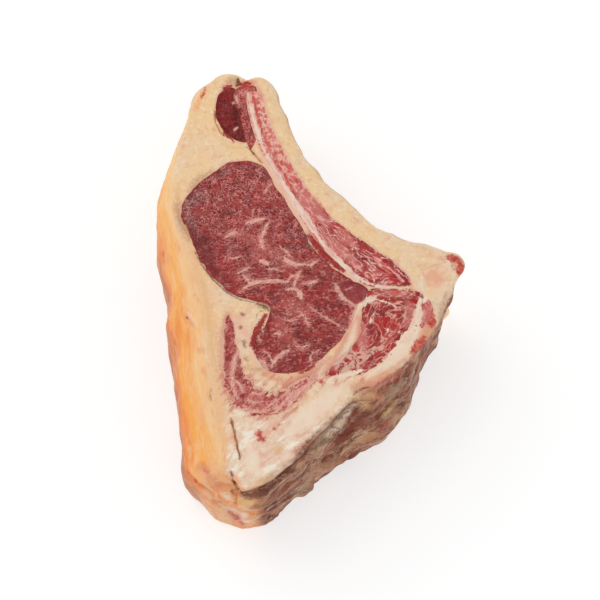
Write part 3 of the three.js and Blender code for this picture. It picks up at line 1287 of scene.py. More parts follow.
@dataclass(frozen=True)
class LeanMeat:
    """Raw lean meat: dark red fibres with pale flecks and veins of fat between their bundles; the flecks also
    serve as painted highlights of wet glints.
    """

    name: str
    deep: Colour = seen(0x7C1E22)
    base: Colour = seen(0x942828)
    bright: Colour = seen(0xB44641)
    shadow: Colour = seen(0x681C22)
    glow: Colour = seen(0xCC766C)
    haze: Colour = seen(0x704E4D)
    # pale flecks of fat, which also serve as painted highlights of wet glints
    fleck: Colour = seen(0xE2A098)
    # a thin darker band along the meat's sunk border: painted shade of the step up to the fat, over a browner
    # edge
    border: Colour = seen(0x964C42)
    faded: Colour = seen(0xE6B6A0)
    fat: Colour = seen(0xE6B8A6)
    rosy_fat: Colour = seen(0xD89286)
    blood: Colour = seen(0xB83C38)
    flecks: float = 1.0
    grain: float = 6.0
    bundle: float = 2.6
    fading: float = 0.0
    lustre: Lustre = Lustre(0.34, 0.04, 0.8, 0.3)

    def _flecks(self, g: Graph, place: Signal, fibres: Signal) -> Signal:
        """Gives the fine marbling, which also serves as painted highlights of wet glints: dense short curls
        up the loin, sparse long threads lower down.

        Args:
            g: The material.
            place: The uneven place.
            fibres: The place drawn out along the fibres.

        Returns:
            The share of marbling.
        """
        south = g.northing(0.05, -0.02)
        curls = g.noise(2.3, 2.0, 0.5, place).near(0.5, 0.045)
        curls = curls.most(g.noise(3.4, 2.0, 0.5, place).near(0.52, 0.028))
        clumps = g.noise(6.0, 3.0, 0.6).between(0.38, 0.58) * 0.65 + 0.25
        threads = g.noise(4.0, 3.0, 0.6, g.turned(self.grain, (0.4, 1.0, 1.0), place)).near(0.5, 0.045)
        gaps = g.noise(4.0).between(0.46, 0.54)
        inputs = {"Vector": fibres, "Scale": 1 / (self.bundle * MILLIMETRE)}
        walls = g.add("ShaderNodeTexVoronoi", {"feature": "DISTANCE_TO_EDGE"}, inputs)
        veins = walls.between(0.1, 0.02) * g.carried(Stain.PALE).between(3.2, 0.3)
        fine = (curls * clumps * (1.0 - south * 0.7)).most(threads * gaps * (south * 0.45 + 0.15))
        return fine.most(veins * 0.75) * self.flecks

    def material(self) -> bpy.types.Material:
        """Builds the finish.

        Returns:
            The material.
        """
        g = Graph(self.name)
        place = g.warped(6.0, 2.0)
        fibres = g.turned(self.grain, (0.55, 1.0, 1.0), place)
        ragged = g.noise(1.7, 4.0, 0.65).swing()
        frayed = g.noise(2.0, 4.0, 0.65, g.turned(self.grain, (0.3, 1.0, 1.0), place)).swing()
        strand = g.noise(2.5, 2.0, 0.5, fibres)
        grain = g.noise(1.3, 4.0, 0.7, fibres)
        glow = g.within(Stain.PINK, ragged * 4.0, 5.0, -4.0)
        dark = g.within(Stain.DARK, ragged * 3.0, 2.4, -3.0)
        colour = g.layered(
            g.mix(g.noise(11.0, 4.0, 0.6).between(0.4, 0.6), self.deep, self.base),
            (g.noise(3.4, 4.0, 0.6, fibres).between(0.46, 0.64) * 0.5, self.bright),
            (strand.between(0.46, 0.34) * 0.3, self.shadow),
            (glow * 0.4, self.glow),
            (dark * 0.55, self.shadow),
            (g.within(Stain.BROWN, ragged * 3.0, 3.5, -2.5) * 0.75, self.haze),
            # the flecks: fat marbling, and painted highlights of wet glints
            (self._flecks(g, place, fibres) * (1.0 + glow * 0.4 - dark * 0.6), self.fleck),
            # painted shade along the sunk border, over a browner edge
            (g.within("rim", ragged * 0.9, 0.9, 0.0) * 0.35, self.border),
        )
        if self.fading:
            band = g.northing(-0.062, -0.08)
            inward = ragged * self.fading * 1.6 - band * (frayed * 7.0 + 0.6)
            mottle = g.noise(3.0, 4.0, 0.65, fibres).between(0.5, 0.56) * (glow * 0.6 + 0.16)
            colour = g.mix(g.within("rim", inward, self.fading, 0.2).most(mottle), colour, self.faded)
        seam = g.within(Stain.PALE, ragged * 0.9 + frayed * 1.5, 0.7, -0.7)
        colour = g.layered(
            colour,
            (seam * 0.95, g.mix(grain.between(0.4, 0.62), self.fat, self.rosy_fat)),
            (g.within(Stain.RED, ragged, 0.6, -0.6) * 0.6, self.blood),
        )
        relief = grain * 0.5 + strand * 0.6 + seam * 0.4
        return g.finish(colour, 0.46 - grain * 0.16, relief, 0.4, self.lustre)


@dataclass(frozen=True)
class SpongyBone:
    """Sawn spongy bone: red marrow with pale struts that run beside the bone's border, denser in places."""

    name: str
    deep: Colour = seen(0x923236)
    crimson: Colour = seen(0xB24A4A)
    coral: Colour = seen(0xDA7266)
    rosy: Colour = seen(0xE0968C)
    strut: Colour = seen(0xF2C8BE)
    dense: Colour = seen(0xECBEA8)
    salmon: Colour = seen(0xE2A292)
    white: Colour = seen(0xF0D6C6)
    veined: Colour = seen(0xE2B0A4)
    lilac: Colour = seen(0xD6BCB8)
    ash: Colour = seen(0xCEA696)
    blood: Colour = seen(0xB22E30)
    # painted shade of the pores
    groove: Colour = seen(0x683A32)
    whorl: float = 3.0
    reach: float = 0.28
    sparse: tuple[float, float] = (0.03, 0.085)
    sparseness: float = 0.13
    solid: float = 0.42
    pitch: float = 1.0
    lustre: Lustre = Lustre(0.35, 0.04, 0.8, 0.35)

    def _marrow(self, g: Graph, place: Signal, beside: Signal, thin: Signal) -> Signal:
        """Gives the colour of the marrow with its struts.

        Args:
            g: The material.
            place: The uneven place.
            beside: The place in which patterns run beside the border.
            thin: The share of thin marrow.

        Returns:
            The colour.
        """
        tone = g.noise(5.5, 4.0, 0.6, beside)
        wavy = g.noise(2.9 * self.pitch, 1.0, 0.4, beside)
        gate = g.noise(5.5, 2.0, 0.5, place).between(0.34, 0.5) * 0.75 + 0.25
        struts = wavy.near(0.51, 0.07).most(g.noise(1.9, 2.0, 0.5, beside).near(0.47, 0.04) * 0.4) * gate
        return g.layered(
            g.ramp(tone, ((0.38, self.deep), (0.5, self.crimson), (0.62, self.coral), (0.8, self.rosy))),
            (thin * 0.65, self.coral),
            (wavy.between(0.46, 0.36) * (1.0 - thin) * 0.6, self.deep),
            (struts * 0.8, self.strut),
        )

    def material(self) -> bpy.types.Material:
        """Builds the finish.

        Returns:
            The material.
        """
        g = Graph(self.name)
        place = g.warped(8.0, self.whorl)
        ragged = g.noise(1.8, 4.0, 0.65).swing()
        lumpy = g.noise(4.2, 3.0, 0.6, place).swing()
        beside = g.beside("rim", self.reach, lumpy * 2.0)
        streaks = g.noise(1.7, 4.0, 0.65, g.beside(Stain.PALE, 0.16))
        thin = g.northing(*self.sparse)
        pale = g.within(Stain.PALE, lumpy * 1.8 + ragged * 0.7, 0.8, -0.8)
        ash = g.within(Stain.GREY, lumpy * 2.4 + ragged * 1.4, 1.6, -1.2)
        red = g.within(Stain.RED, lumpy + ragged * 0.8, 0.7, -0.7)
        edge = g.within("rim", ragged * 0.9, 1.2, 0.1)
        fill = g.noise(2.6, 2.0, 0.5, place) + 0.15 - thin * self.sparseness - edge * 0.12
        marrow = (fill + red * 0.7 - pale * self.solid - ash * 0.24).between(0.42, 0.55)
        spongy = self._marrow(g, place, beside, thin)
        cortex = g.mix(streaks.between(0.46, 0.62) * 0.8, self.white, self.veined)
        colour = g.layered(
            g.mix(streaks.between(0.4, 0.62), self.dense, self.salmon),
            (pale * 0.9, g.mix(streaks.between(0.42, 0.32) * 0.6, cortex, self.lilac)),
            (ash * streaks.between(0.62, 0.44) * 0.85, self.ash),
            (marrow, g.mix(red * (1.0 - thin * 0.5) * 0.65, spongy, self.blood)),
            (g.within(Stain.PINK, ragged * 2.0 + lumpy * 2.5, 3.0, -2.0) * 0.45, self.rosy),
            # painted shade of the pores, from the dark marks
            (g.within(Stain.DARK, ragged * 0.8, 0.8, -0.6) * 0.7, self.groove),
        )
        relief = (1 - marrow) * 0.5 + streaks * pale * 0.4 + lumpy * 0.15
        return g.finish(colour, 0.48 - marrow * 0.1, relief, 0.4, self.lustre)


# The stains on the fat: how ragged and how soft their borders are, how much they cover, and their colour
FAT_STAINS = (
    (Stain.PEACH, 4.0, 5.0, 0.8, seen(0xECBA8A)),
    (Stain.HONEY, 3.5, 3.0, 0.7, seen(0xDEB880)),
    (Stain.TAN, 4.0, 3.6, 0.7, seen(0xB48468)),
    (Stain.RUST, 4.0, 3.0, 0.7, seen(0x844A3A)),
    (Stain.AMBER, 5.0, 4.0, 0.65, seen(0xFBB04E)),
    (Stain.ORANGE, 3.0, 3.0, 0.8, seen(0xF0944E)),
    (Stain.ROSE, 3.0, 2.6, 0.8, seen(0xEAB8A2)),
    (Stain.PINK, 3.0, 3.0, 0.75, seen(0xDA927C)),
    (Stain.GREY, 4.0, 3.0, 0.75, seen(0xA89278)),
    # painted shade of the outer wall's recesses, grooves and dents
    (Stain.PAINTED_SHADE, 4.5, 3.0, 0.8, seen(0x6A402F)),
    # painted shade in creases and grooves, and dry brown edges
    (Stain.BROWN, 2.4, 1.8, 0.85, seen(0x7A4832)),
    (Stain.PALE, 2.6, 2.2, 0.8, seen(0xF2DAC4)),
    (Stain.LEAN, 4.5, 3.5, 0.5, seen(0xD88C7E)),
    (Stain.RED, 3.0, 2.0, 0.55, seen(0xDC8E7E)),
    (Stain.LEAN, 3.6, 1.0, 0.8, seen(0xB25A54)),
    (Stain.RED, 4.0, 1.2, 0.85, seen(0xBE443E)),
    # painted shade in cracks, creases, notches and holes
    (Stain.DARK, 0.7, 0.6, 0.85, seen(0x683A26)),
)


@dataclass(frozen=True)
class Fat:
    """Beef fat: cream on the cut, yellow to orange on the cap, dry and brown along the backbone.

    The ramps go down the cap's outside, by shares of the thickness, and through the dry side's bands.
    """

    name: str
    cream: Colour = seen(0xF0CDA2)
    pale: Colour = seen(0xE9D0B7)
    warm: Colour = seen(0xF3CB96)
    blush: Colour = seen(0xE2AA90)
    honey: Colour = seen(0xD6AA7E)
    white: Colour = seen(0xF4E2CC)
    rosy: Colour = seen(0xE8AE9C)
    chalk: Colour = seen(0xF6EADA)
    vein: Colour = seen(0xD07C68)
    border: Colour = seen(0xDEA690)
    strand: Colour = seen(0xC66C62)
    cap_depths: tuple[tuple[float, Colour], ...] = (
        (0.0, seen(0xF0C698)), (0.08, seen(0xF3C28A)), (0.17, seen(0xF6B674)),
        (0.27, seen(0xF7AC5C)), (0.37, seen(0xF0924C)), (0.47, seen(0xD6804E)),
        (0.58, seen(0xBA7250)), (1.0, seen(0xBE8666)),
    )
    dry_bands: tuple[tuple[float, Colour], ...] = (
        (0.38, seen(0x663C30)), (0.46, seen(0x82503F)), (0.53, seen(0xA27058)),
        (0.62, seen(0xBE987C)),
    )
    drawn: float = 2.4
    aside: float = 30.0
    lustre: Lustre = Lustre(0.35, 0.15, 2.0, 0.45)

    def cut(self, g: Graph, ragged: Signal, rim: Term) -> Signal:
        """Gives the colour of the sawn fat.

        Args:
            g: The material.
            ragged: Fine noise around 0.
            rim: The distance from the nearest muscle or bone.

        Returns:
            The colour.
        """
        low = g.northing(-0.075, -0.12)
        streaks = g.noise(5.2, 4.0, 0.65, g.turned(42.0, (0.4, 1.0, 1.0)))
        veins = g.noise(8.0, 4.0, 0.6).near(0.5, 0.014) * g.noise(14.0).between(0.5, 0.62)
        strands = g.noise(2.8, 3.0, 0.6, g.turned(46.0, (0.25, 1.0, 1.0))).between(0.5, 0.58)
        near = (ragged * 2.0 + rim).between(9.0, 1.0) * g.northing(-0.062, -0.08)
        return g.layered(
            g.mix((g.noise(26.0, 3.0).between(0.4, 0.62) * 0.7).most(low), self.cream, self.pale),
            (g.northing(0.04, 0.12) * 0.5, self.warm),
            (g.noise(7.0, 4.0, 0.6).between(0.5, 0.68) * 0.45, self.blush),
            (g.noise(2.4, 4.0, 0.65).between(0.52, 0.68) * 0.3, self.honey),
            (g.noise(3.4, 4.0, 0.65).between(0.48, 0.34) * 0.6, self.white),
            (streaks.between(0.51, 0.62) * low * 0.75, self.rosy),
            (streaks.between(0.48, 0.38) * low * 0.85, self.chalk),
            (veins * 0.5, self.vein),
            ((ragged + rim).between(2.2, 0.2) * 0.45, self.border),
            (strands * near * 0.75, self.strand),
        )

    def _cap(self, g: Graph) -> Signal:
        """Gives the colour of the fat cap's outside, by its depth below the cut face.

        Args:
            g: The material.

        Returns:
            The colour.
        """
        drift = g.noise(8.0, 3.0, 0.6, g.rolled(4.0)).swing(10)
        drift += g.noise(22.0, 3.0, 0.55, g.rolled(2.0)).swing(17)
        bands = g.noise(7.0, 4.0, 0.65, g.rolled(3.0))
        ribbons = g.noise(10.0, 3.0, 0.6, g.rolled(5.0)).near(0.53, 0.05)
        return g.layered(
            g.ramp((g.carried("depth") + drift) * (1 / THICKNESS), self.cap_depths),
            (g.northing(0.0, 0.1) * 0.55, seen(0xF4C780)),
            (g.northing(0.08, 0.125) * 0.8, seen(0xECC496)),
            (bands.between(0.54, 0.7) * 0.4, seen(0xF5CEA2)),
            (bands.between(0.47, 0.34) * 0.5, seen(0xE68442)),
            (ribbons * 0.22, seen(0xF7D6B4)),
            (g.noise(9.0, 4.0, 0.6, g.rolled(2.5)).between(0.55, 0.66) * 0.35, seen(0xECA884)),
            (g.noise(2.0, 4.0, 0.65).between(0.58, 0.7) * 0.25, seen(0xFAD29C)),
        )

    def _corner(self, g: Graph) -> Signal:
        """Gives the colour of the folded corner between the cap and the backbone, with painted shade along
        fine crease lines.

        Args:
            g: The material.

        Returns:
            The colour.
        """
        crease_shade = g.noise(7.0, 4.0, 0.6).near(0.5, 0.018) * g.noise(9.0).between(0.46, 0.56)
        return g.layered(
            g.mix(g.noise(12.0, 3.0).between(0.42, 0.58), seen(0xE49864), seen(0xE2B48A)),
            (g.noise(6.0, 3.0).between(0.52, 0.62) * 0.6, seen(0xD68C76)),
            (g.noise(3.6, 4.0, 0.65).between(0.47, 0.36) * 0.45, seen(0xF0D0A8)),
            # painted shade along fine crease lines
            (crease_shade * 0.55, seen(0xA4603E)),
        )

    def _dry(self, g: Graph) -> Signal:
        """Gives the colour of the side along the backbone: soft dry bands of fat and meat.

        Args:
            g: The material.

        Returns:
            The colour.
        """
        push = g.noise(18.0).swing(13)
        place = g.rolled(self.drawn, 1.0, push)
        meaty = g.noise(13.0, 4.0, 0.6, g.rolled(self.drawn, 1.0, push + 40))
        return g.layered(
            g.ramp(g.noise(12.0, 4.0, 0.6, place), self.dry_bands),
            (meaty.between(0.51, 0.57) * 0.58, seen(0x965646)),
            (g.noise(5.0, 4.0, 0.65, place).between(0.55, 0.63) * 0.5, seen(0xC6A084)),
        )

    def _dry_side_shade_and_gleams(self, g: Graph, colour: Signal, furrows: Signal, share: Signal) -> Signal:
        """Paints shade over the dry side's stains: dark in small hollows and along thin crease lines, and
        highlights on its furrows.

        Args:
            g: The material.
            colour: The stained side.
            furrows: The noise of the furrows, whose tops get painted highlights.
            share: How much of the dry side there is.

        Returns:
            The colour.
        """
        pit_shade = g.noise(6.0, 4.0, 0.65, g.rolled(2.2)).between(0.45, 0.37)
        crease_shade = g.noise(9.0, 4.0, 0.65, g.rolled(self.drawn)).near(0.5, 0.02)
        return g.layered(
            colour,
            # painted shade in small hollows
            (pit_shade * share * 0.52, seen(0x6C4435)),
            # painted highlights on the furrows' tops
            (furrows.between(0.55, 0.61) * share * 0.45, seen(0xCEB096)),
            # painted shade along thin crease lines
            (crease_shade * share * 0.6, seen(0x583428)),
        )

    def _lining(self, g: Graph) -> Signal:
        """Gives the colour of the ribs' thin skin, with meat between the ribs, and of the sawn end.

        Args:
            g: The material.

        Returns:
            The colour.
        """
        wide = g.noise(20.0, 4.0, 0.6, g.rolled(1.6))
        depth = g.carried("depth") + wide.swing(20)
        meat = depth.between(20.0, 32.0) * depth.between(66.0, 52.0)
        fibres = g.noise(5.0, 4.0, 0.65, g.rolled(0.8, 3.0))
        return g.layered(
            g.mix(wide.between(0.4, 0.6), seen(0xD8B490), seen(0xCC9E82)),
            (meat * (fibres * 0.8 + 0.1), seen(0xA4584A)),
            (g.noise(9.0, 4.0, 0.65, g.rolled(4.0)).between(0.54, 0.66) * 0.4, seen(0xBA7866)),
            (g.noise(6.0, 4.0, 0.65, g.rolled(5.0)).between(0.45, 0.34) * 0.5, seen(0xE6CCB0)),
        )

    def material(self) -> bpy.types.Material:
        """Builds the finish.

        Returns:
            The material.
        """
        g = Graph(self.name)
        ragged = g.noise(1.9, 4.0, 0.65).swing()
        drift = g.noise(7.0, 4.0, 0.6).swing()
        side = 1 - g.carried("under")
        on_wall = g.within("depth", ragged * 1.5 + drift * 1.5, 0.3, 2.6) * side
        dry = on_wall * g.within(Side.CHINE, drift * 0.15, 0.3, 0.75)
        outer = side * (g.carried(Side.LINING) + g.carried(Side.RIB_END) - drift * 0.5).between(0.2, 0.8)
        colour = g.layered(
            self.cut(g, ragged, g.carried("rim")),
            (on_wall * g.within(Side.FAT_CAP, drift * 0.5, 0.2, 0.8), self._cap(g)),
            (on_wall * g.carried(Side.DORSAL_CORNER).between(0.1, 0.6), self._corner(g)),
            (dry, self._dry(g)),
            (g.within("depth", ragged * 0.8, 3.2, 4.8) * outer * 0.6, seen(0xB0906C)),
            (g.within("depth", drift * 2, 1.5, 9.0) * outer * 0.85, self._lining(g)),
        )
        frayed = ragged + drift * 0.4
        for stain, rough, soft, share, tint in FAT_STAINS:
            colour = g.mix(g.within(stain, frayed * rough, soft, -soft) * share, colour, tint)
        meat = g.within(Stain.LEAN, ragged * 2.0, 0.6, -0.6) * (1 - on_wall)
        bloody = g.carried(Stain.RED).between(0.5, -1.5)
        colour = g.layered(
            colour,
            (meat * (g.noise(2.6, 3.0, 0.6).between(0.38, 0.52) * 0.4 + 0.5), seen(0x9A3634)),
            (bloody * g.noise(2.4, 3.0, 0.6).between(0.5, 0.58) * 0.6, seen(0xE28A7A)),
            (bloody * g.noise(2.8, 3.0, 0.6).between(0.48, 0.4) * 0.45, seen(0x962622)),
        )
        furrows = g.noise(6.5, 4.0, 0.65, g.rolled(self.drawn, 1.0, self.aside))
        # the dry side gets painted shade in small hollows and crease lines, and painted highlights on its
        # furrows
        colour = self._dry_side_shade_and_gleams(g, colour, furrows, dry)
        grain = g.noise(1.3, 4.0, 0.65)
        relief = grain * 0.5 + furrows * dry * 5.0 + g.noise(4.5, 3.0) * 0.7
        return g.finish(colour, 0.44 + grain * 0.14, relief, 0.5, self.lustre)


@dataclass(frozen=True)
class PaleBone:
    """Gristle and pale bone at the backbone's tip, smooth and cream."""

    name: str
    around: Fat
    cream: Colour = seen(0xEECAA8)
    peach: Colour = seen(0xE8B092)
    gleam: Colour = seen(0xF0DAC4)
    lavender: Colour = seen(0xCEA8A0)

    def material(self) -> bpy.types.Material:
        """Builds the finish.

        Returns:
            The material.
        """
        g = Graph(self.name)
        ragged = g.noise(2.0, 4.0, 0.6).swing()
        colour = g.layered(
            g.mix(g.noise(9.0, 3.0).between(0.4, 0.6), self.cream, self.peach),
            (g.noise(2.6, 4.0, 0.65).between(0.52, 0.7) * 0.4, self.gleam),
            (g.within("rim", ragged * 2.0, 5.0, 1.5), self.around.cut(g, ragged, FAR)),
            (g.within(Stain.GREY, ragged, 1.2, -0.8) * 0.55, self.lavender),
            (g.within(Stain.PEACH, ragged * 2.0, 3.0, -2.0) * 0.6, self.peach),
        )
        return g.finish(colour, 0.45, g.noise(1.8, 4.0), 0.3, self.around.lustre)


BEEF_FAT = Fat("beef_fat")

FINISHES = {
    "rib_bone": SpongyBone("spongy_rib"),
    "vertebra": SpongyBone(
        "spongy_vertebra", deep=seen(0x8A2C32), crimson=seen(0xA83E40), coral=seen(0xBC524C),
        strut=seen(0xE8B4A4), white=seen(0xF0DCC4), veined=seen(0xECC8B2), whorl=6.0,
        reach=0.45, sparse=(0.2, 0.3), solid=0.36, pitch=1.2,
    ),
    "chine_bone": PaleBone("gristle", BEEF_FAT),
    "multifidus_muscle": LeanMeat(
        "dark_lean", deep=seen(0x86383C), base=seen(0x984648), bright=seen(0xA65454), flecks=0.35
    ),
    "eye_muscle": LeanMeat("marbled_lean"),
    "side_muscle": LeanMeat(
        "streaky_lean", deep=seen(0x903234), base=seen(0xA84241), bright=seen(0xC05C56),
        shadow=seen(0x7E2C2E), grain=48.0, fading=1.0,
    ),
    "rib_meat": LeanMeat(
        "rib_lean", deep=seen(0x8A2E30), base=seen(0xA44241), bright=seen(0xBE5C56), grain=75.0
    ),
    "tail_muscle": LeanMeat(
        "tail_lean", deep=seen(0x6C2226), base=seen(0x863636), bright=seen(0x9A4846),
        shadow=seen(0x5C1216), fleck=seen(0xAC6260), flecks=0.75, grain=80.0,
        lustre=Lustre(0.15, 0.04, 0.8, 0.3),
    ),
}

# Streaks and spots by stain: each one's name, its width, and column and row of the photograph's pixels
# that it runs through
STROKES: dict[Stain, tuple[Stroke, ...]] = {}
STROKES[Stain.PALE] = (
    ("long streak", 2.9, 244, 287, 250, 283, 262, 281, 275, 280, 288, 281),
    ("streak's fork", 1.5, 286, 281, 291, 276, 296, 274, 300, 270),
    ("knot's arm", 2.2, 286, 289, 292, 288, 297, 290),
    ("knot", 4.0, 297, 289, 300, 293, 301, 298),
    ("knot's top", 2.0, 294, 288, 295, 281, 298, 276, 300, 270),
    ("knot's right arm", 2.0, 303, 283, 309, 283, 317, 280),
    ("left hook", 1.5, 238, 272, 243, 270, 249, 267),
    ("lower hook", 2.1, 243, 275, 247, 278, 249, 281),
    ("streak's foot", 0.9, 240, 292, 244, 288, 250, 285),
    ("upright", 2.0, 269, 221, 265, 228, 262, 236, 261, 243, 264, 248),
    ("upper bar", 3.2, 247, 222, 255, 220, 264, 218),
    ("left bar", 2.6, 226, 236, 231, 233, 237, 231),
    ("patch", 2.8, 262, 261, 267, 263),
    ("right streak", 3.2, 284, 256, 289, 261, 296, 264, 304, 263),
    ("right tail", 1.8, 302, 263, 311, 264, 318, 260),
    ("bright spot", 2.2, 275, 333, 279, 333),
    ("foot streak", 2.8, 272, 365, 276, 358, 282, 353, 289, 350),
    ("foot ring", 1.1, 309, 368, 312, 363, 310, 357, 313, 352, 319, 350),
    ("slant", 0.9, 310, 306, 318, 312, 326, 317, 336, 323, 348, 331),
    ("seam", 2.8, 335, 283, 338, 290, 342, 297, 349, 301, 355, 306),
    ("seam's knee", 3.0, 337, 287, 340, 293),
    ("border loop", 1.9, 262, 318, 257, 322, 255, 329, 258, 336, 261, 341),
    ("loop's spur", 1.4, 258, 326, 263, 331),
    ("upper wisp", 0.9, 268, 268, 275, 268, 283, 271),
    ("left wisp", 0.8, 225, 256, 232, 258, 240, 256),
    ("centre wisp", 0.9, 300, 312, 306, 318, 309, 326),
    ("low wisp", 0.8, 285, 318, 291, 321, 296, 319),
    ("foot wisp", 0.8, 296, 345, 303, 347, 309, 344),
    ("edge wisp", 0.8, 264, 350, 269, 354, 272, 361),
    ("top wisp", 1.0, 271, 183, 267, 187, 265, 192),
    ("east wisp", 1.2, 280, 246, 286, 250, 291, 256),
    ("eye's low corner", 4.0, 259, 358, 263, 364, 268, 369),
    ("tail speck", 1.7, 234, 129, 237, 127),
    ("tail chips", 1.6, 235, 95, 238, 102),
    ("tail chip", 1.2, 232, 102, 234, 103),
    ("multifidus fleck", 0.7, 346, 289, 352, 287),
    ("strand gap", 3.0, 240, 346, 235, 358, 232, 372, 233, 386, 237, 398),
    ("gap's branch", 1.8, 234, 378, 240, 384, 243, 392),
    ("band gap", 1.6, 247, 399, 255, 402, 263, 401),
    ("band gap above", 1.6, 252, 392, 259, 394, 266, 390),
    ("band gap below", 1.2, 262, 411, 270, 404, 279, 398),
    ("band streak", 1.6, 280, 405, 290, 396, 300, 388),
    ("band streak above", 2.0, 288, 402, 297, 395, 308, 385),
    ("band's end", 3.4, 298, 392, 310, 381, 320, 372),
    ("band's foot", 1.8, 243, 408, 251, 412, 258, 415),
    ("cortex top", 2.6, 247, 92, 251, 107, 255, 122, 259, 137, 265, 150),
    ("cortex upper", 3.6, 264, 150, 271, 163, 279, 177, 287, 189),
    ("cortex middle", 5.4, 286, 188, 294, 200, 302, 212, 311, 225, 320, 239),
    ("cortex lower", 4.6, 318, 237, 329, 251, 341, 263, 354, 275, 366, 283),
    ("cortex foot", 1.8, 362, 281, 376, 286, 392, 287, 408, 290),
    ("vertebra border", 4.4, 352, 320, 358, 308, 367, 300, 378, 295),
    ("vertebra right", 6.0, 421, 298, 416, 316, 412, 332, 402, 342, 390, 358, 376, 370),
    ("vertebra left", 4.0, 356, 322, 352, 336, 346, 350, 336, 364),
    ("pale foot", 4.0, 326, 381, 338, 377, 350, 374, 362, 370),
    ("arc a", 0.9, 369, 326, 372, 316, 378, 308),
    ("arc b", 1.0, 364, 304, 376, 299, 390, 303, 400, 309),
    ("arc c", 0.8, 382, 316, 388, 324, 388, 332, 380, 338),
    ("low white", 13.0, 288, 434, 312, 412, 338, 390),
    ("lobe", 9.0, 250, 448, 252, 468, 262, 474),
    ("right white", 8.0, 366, 377, 388, 363, 404, 348, 416, 330, 421, 313),
    ("tip white", 6.0, 424, 302, 429, 292, 421, 284),
    ("curl", 2.6, 284, 459, 293, 456),
    ("cap white", 1.0, 188, 313, 193, 319, 197, 326),
    ("pale lump", 5.0, 222, 494, 228, 497, 232, 500),
    ("grey streak", 5.0, 224, 506, 232, 509, 240, 513),
    ("corner cream", 5.0, 244, 515, 246, 521),
    ("white band", 4.4, 328, 436, 338, 426, 347, 414, 354, 405),
)
STROKES[Stain.RED] = (
    ("rib meat's blood", 3.4, 241, 88, 247, 84, 251, 87),
    ("foot's blood", 1.6, 312, 361, 314, 366),
    ("red line top", 0.8, 252, 91, 256, 109, 261, 127, 266, 141, 272, 154),
    ("red line", 2.0, 270, 151, 277, 164, 285, 175, 293, 189),
    ("ladder blob a", 3.6, 283, 163, 289, 167),
    ("ladder blob b", 3.6, 303, 202, 309, 205),
    ("ladder blob c", 4.0, 319, 208, 325, 214),
    ("ladder blob d", 2.6, 297, 180, 302, 187),
    ("ladder blob e", 2.4, 304, 193, 310, 196),
    ("dark border", 1.4, 334, 222, 349, 234, 363, 245, 378, 256, 392, 266, 408, 281),
    ("rib's dark end", 5.0, 378, 268, 390, 275, 402, 284),
    ("blob a", 3.6, 355, 348, 357, 349),
    ("blob b", 3.0, 366, 364, 369, 363),
    ("blob c", 2.6, 376, 356, 379, 353),
    ("blob d", 2.8, 390, 348, 394, 345),
    ("blob e", 2.4, 346, 360, 349, 361),
    ("blob f", 2.0, 332, 372, 337, 371),
    ("vertebra marrow", 7.0, 376, 322, 390, 322, 398, 328),
    ("top red", 4.0, 388, 292, 396, 292, 402, 294),
    ("red spot", 4.2, 258, 433, 262, 439),
    ("near red a", 1.8, 318, 380, 322, 383),
    ("near red b", 2.2, 330, 374, 337, 371),
    ("near red c", 1.2, 303, 384, 307, 381),
    ("near red d", 1.1, 274, 428, 280, 424),
    ("cap's red core", 1.9, 206, 87, 204, 91, 201, 98),
    ("wet red", 6.4, 429, 312, 431, 319, 433, 326),
    ("wet red below", 6.0, 424, 337, 420, 344, 412, 352),
    ("small red", 3.4, 414, 301, 416, 297),
    ("tip red", 7.0, 448, 257, 455, 259, 460, 263),
    ("tip edge", 6.0, 460, 262, 460, 268, 459, 275),
    ("cap red", 0.9, 186, 317, 187, 318),
    ("silhouette red", 1.4, 163, 252, 164, 262),
    ("lump red a", 0.9, 195, 479, 196, 482),
    ("lump red b", 0.8, 205, 470, 208, 472),
)
STROKES[Stain.LEAN] = (
    ("eye's right edge", 5.8, 308, 235, 318, 247, 325, 255, 334, 263, 343, 271),
    ("eye's frayed edge", 4.6, 266, 315, 261, 323, 256, 334, 253, 344, 256, 353),
    ("eye's lower edge", 2.6, 300, 373, 308, 369, 316, 363),
    ("tail's edge", 2.4, 223, 127, 227, 135, 233, 141),
    ("tail's dark top", 2.4, 224, 89, 231, 86),
    ("band islands", 2.6, 252, 415, 276, 412, 294, 399, 314, 381),
    ("top meat", 2.4, 241, 85, 247, 82, 251, 83),
    ("corner red", 3.4, 229, 511, 236, 517, 243, 525),
    ("rosy patch", 2.4, 374, 386, 386, 380, 399, 371),
    ("lower red", 4.4, 380, 428, 386, 424),
)
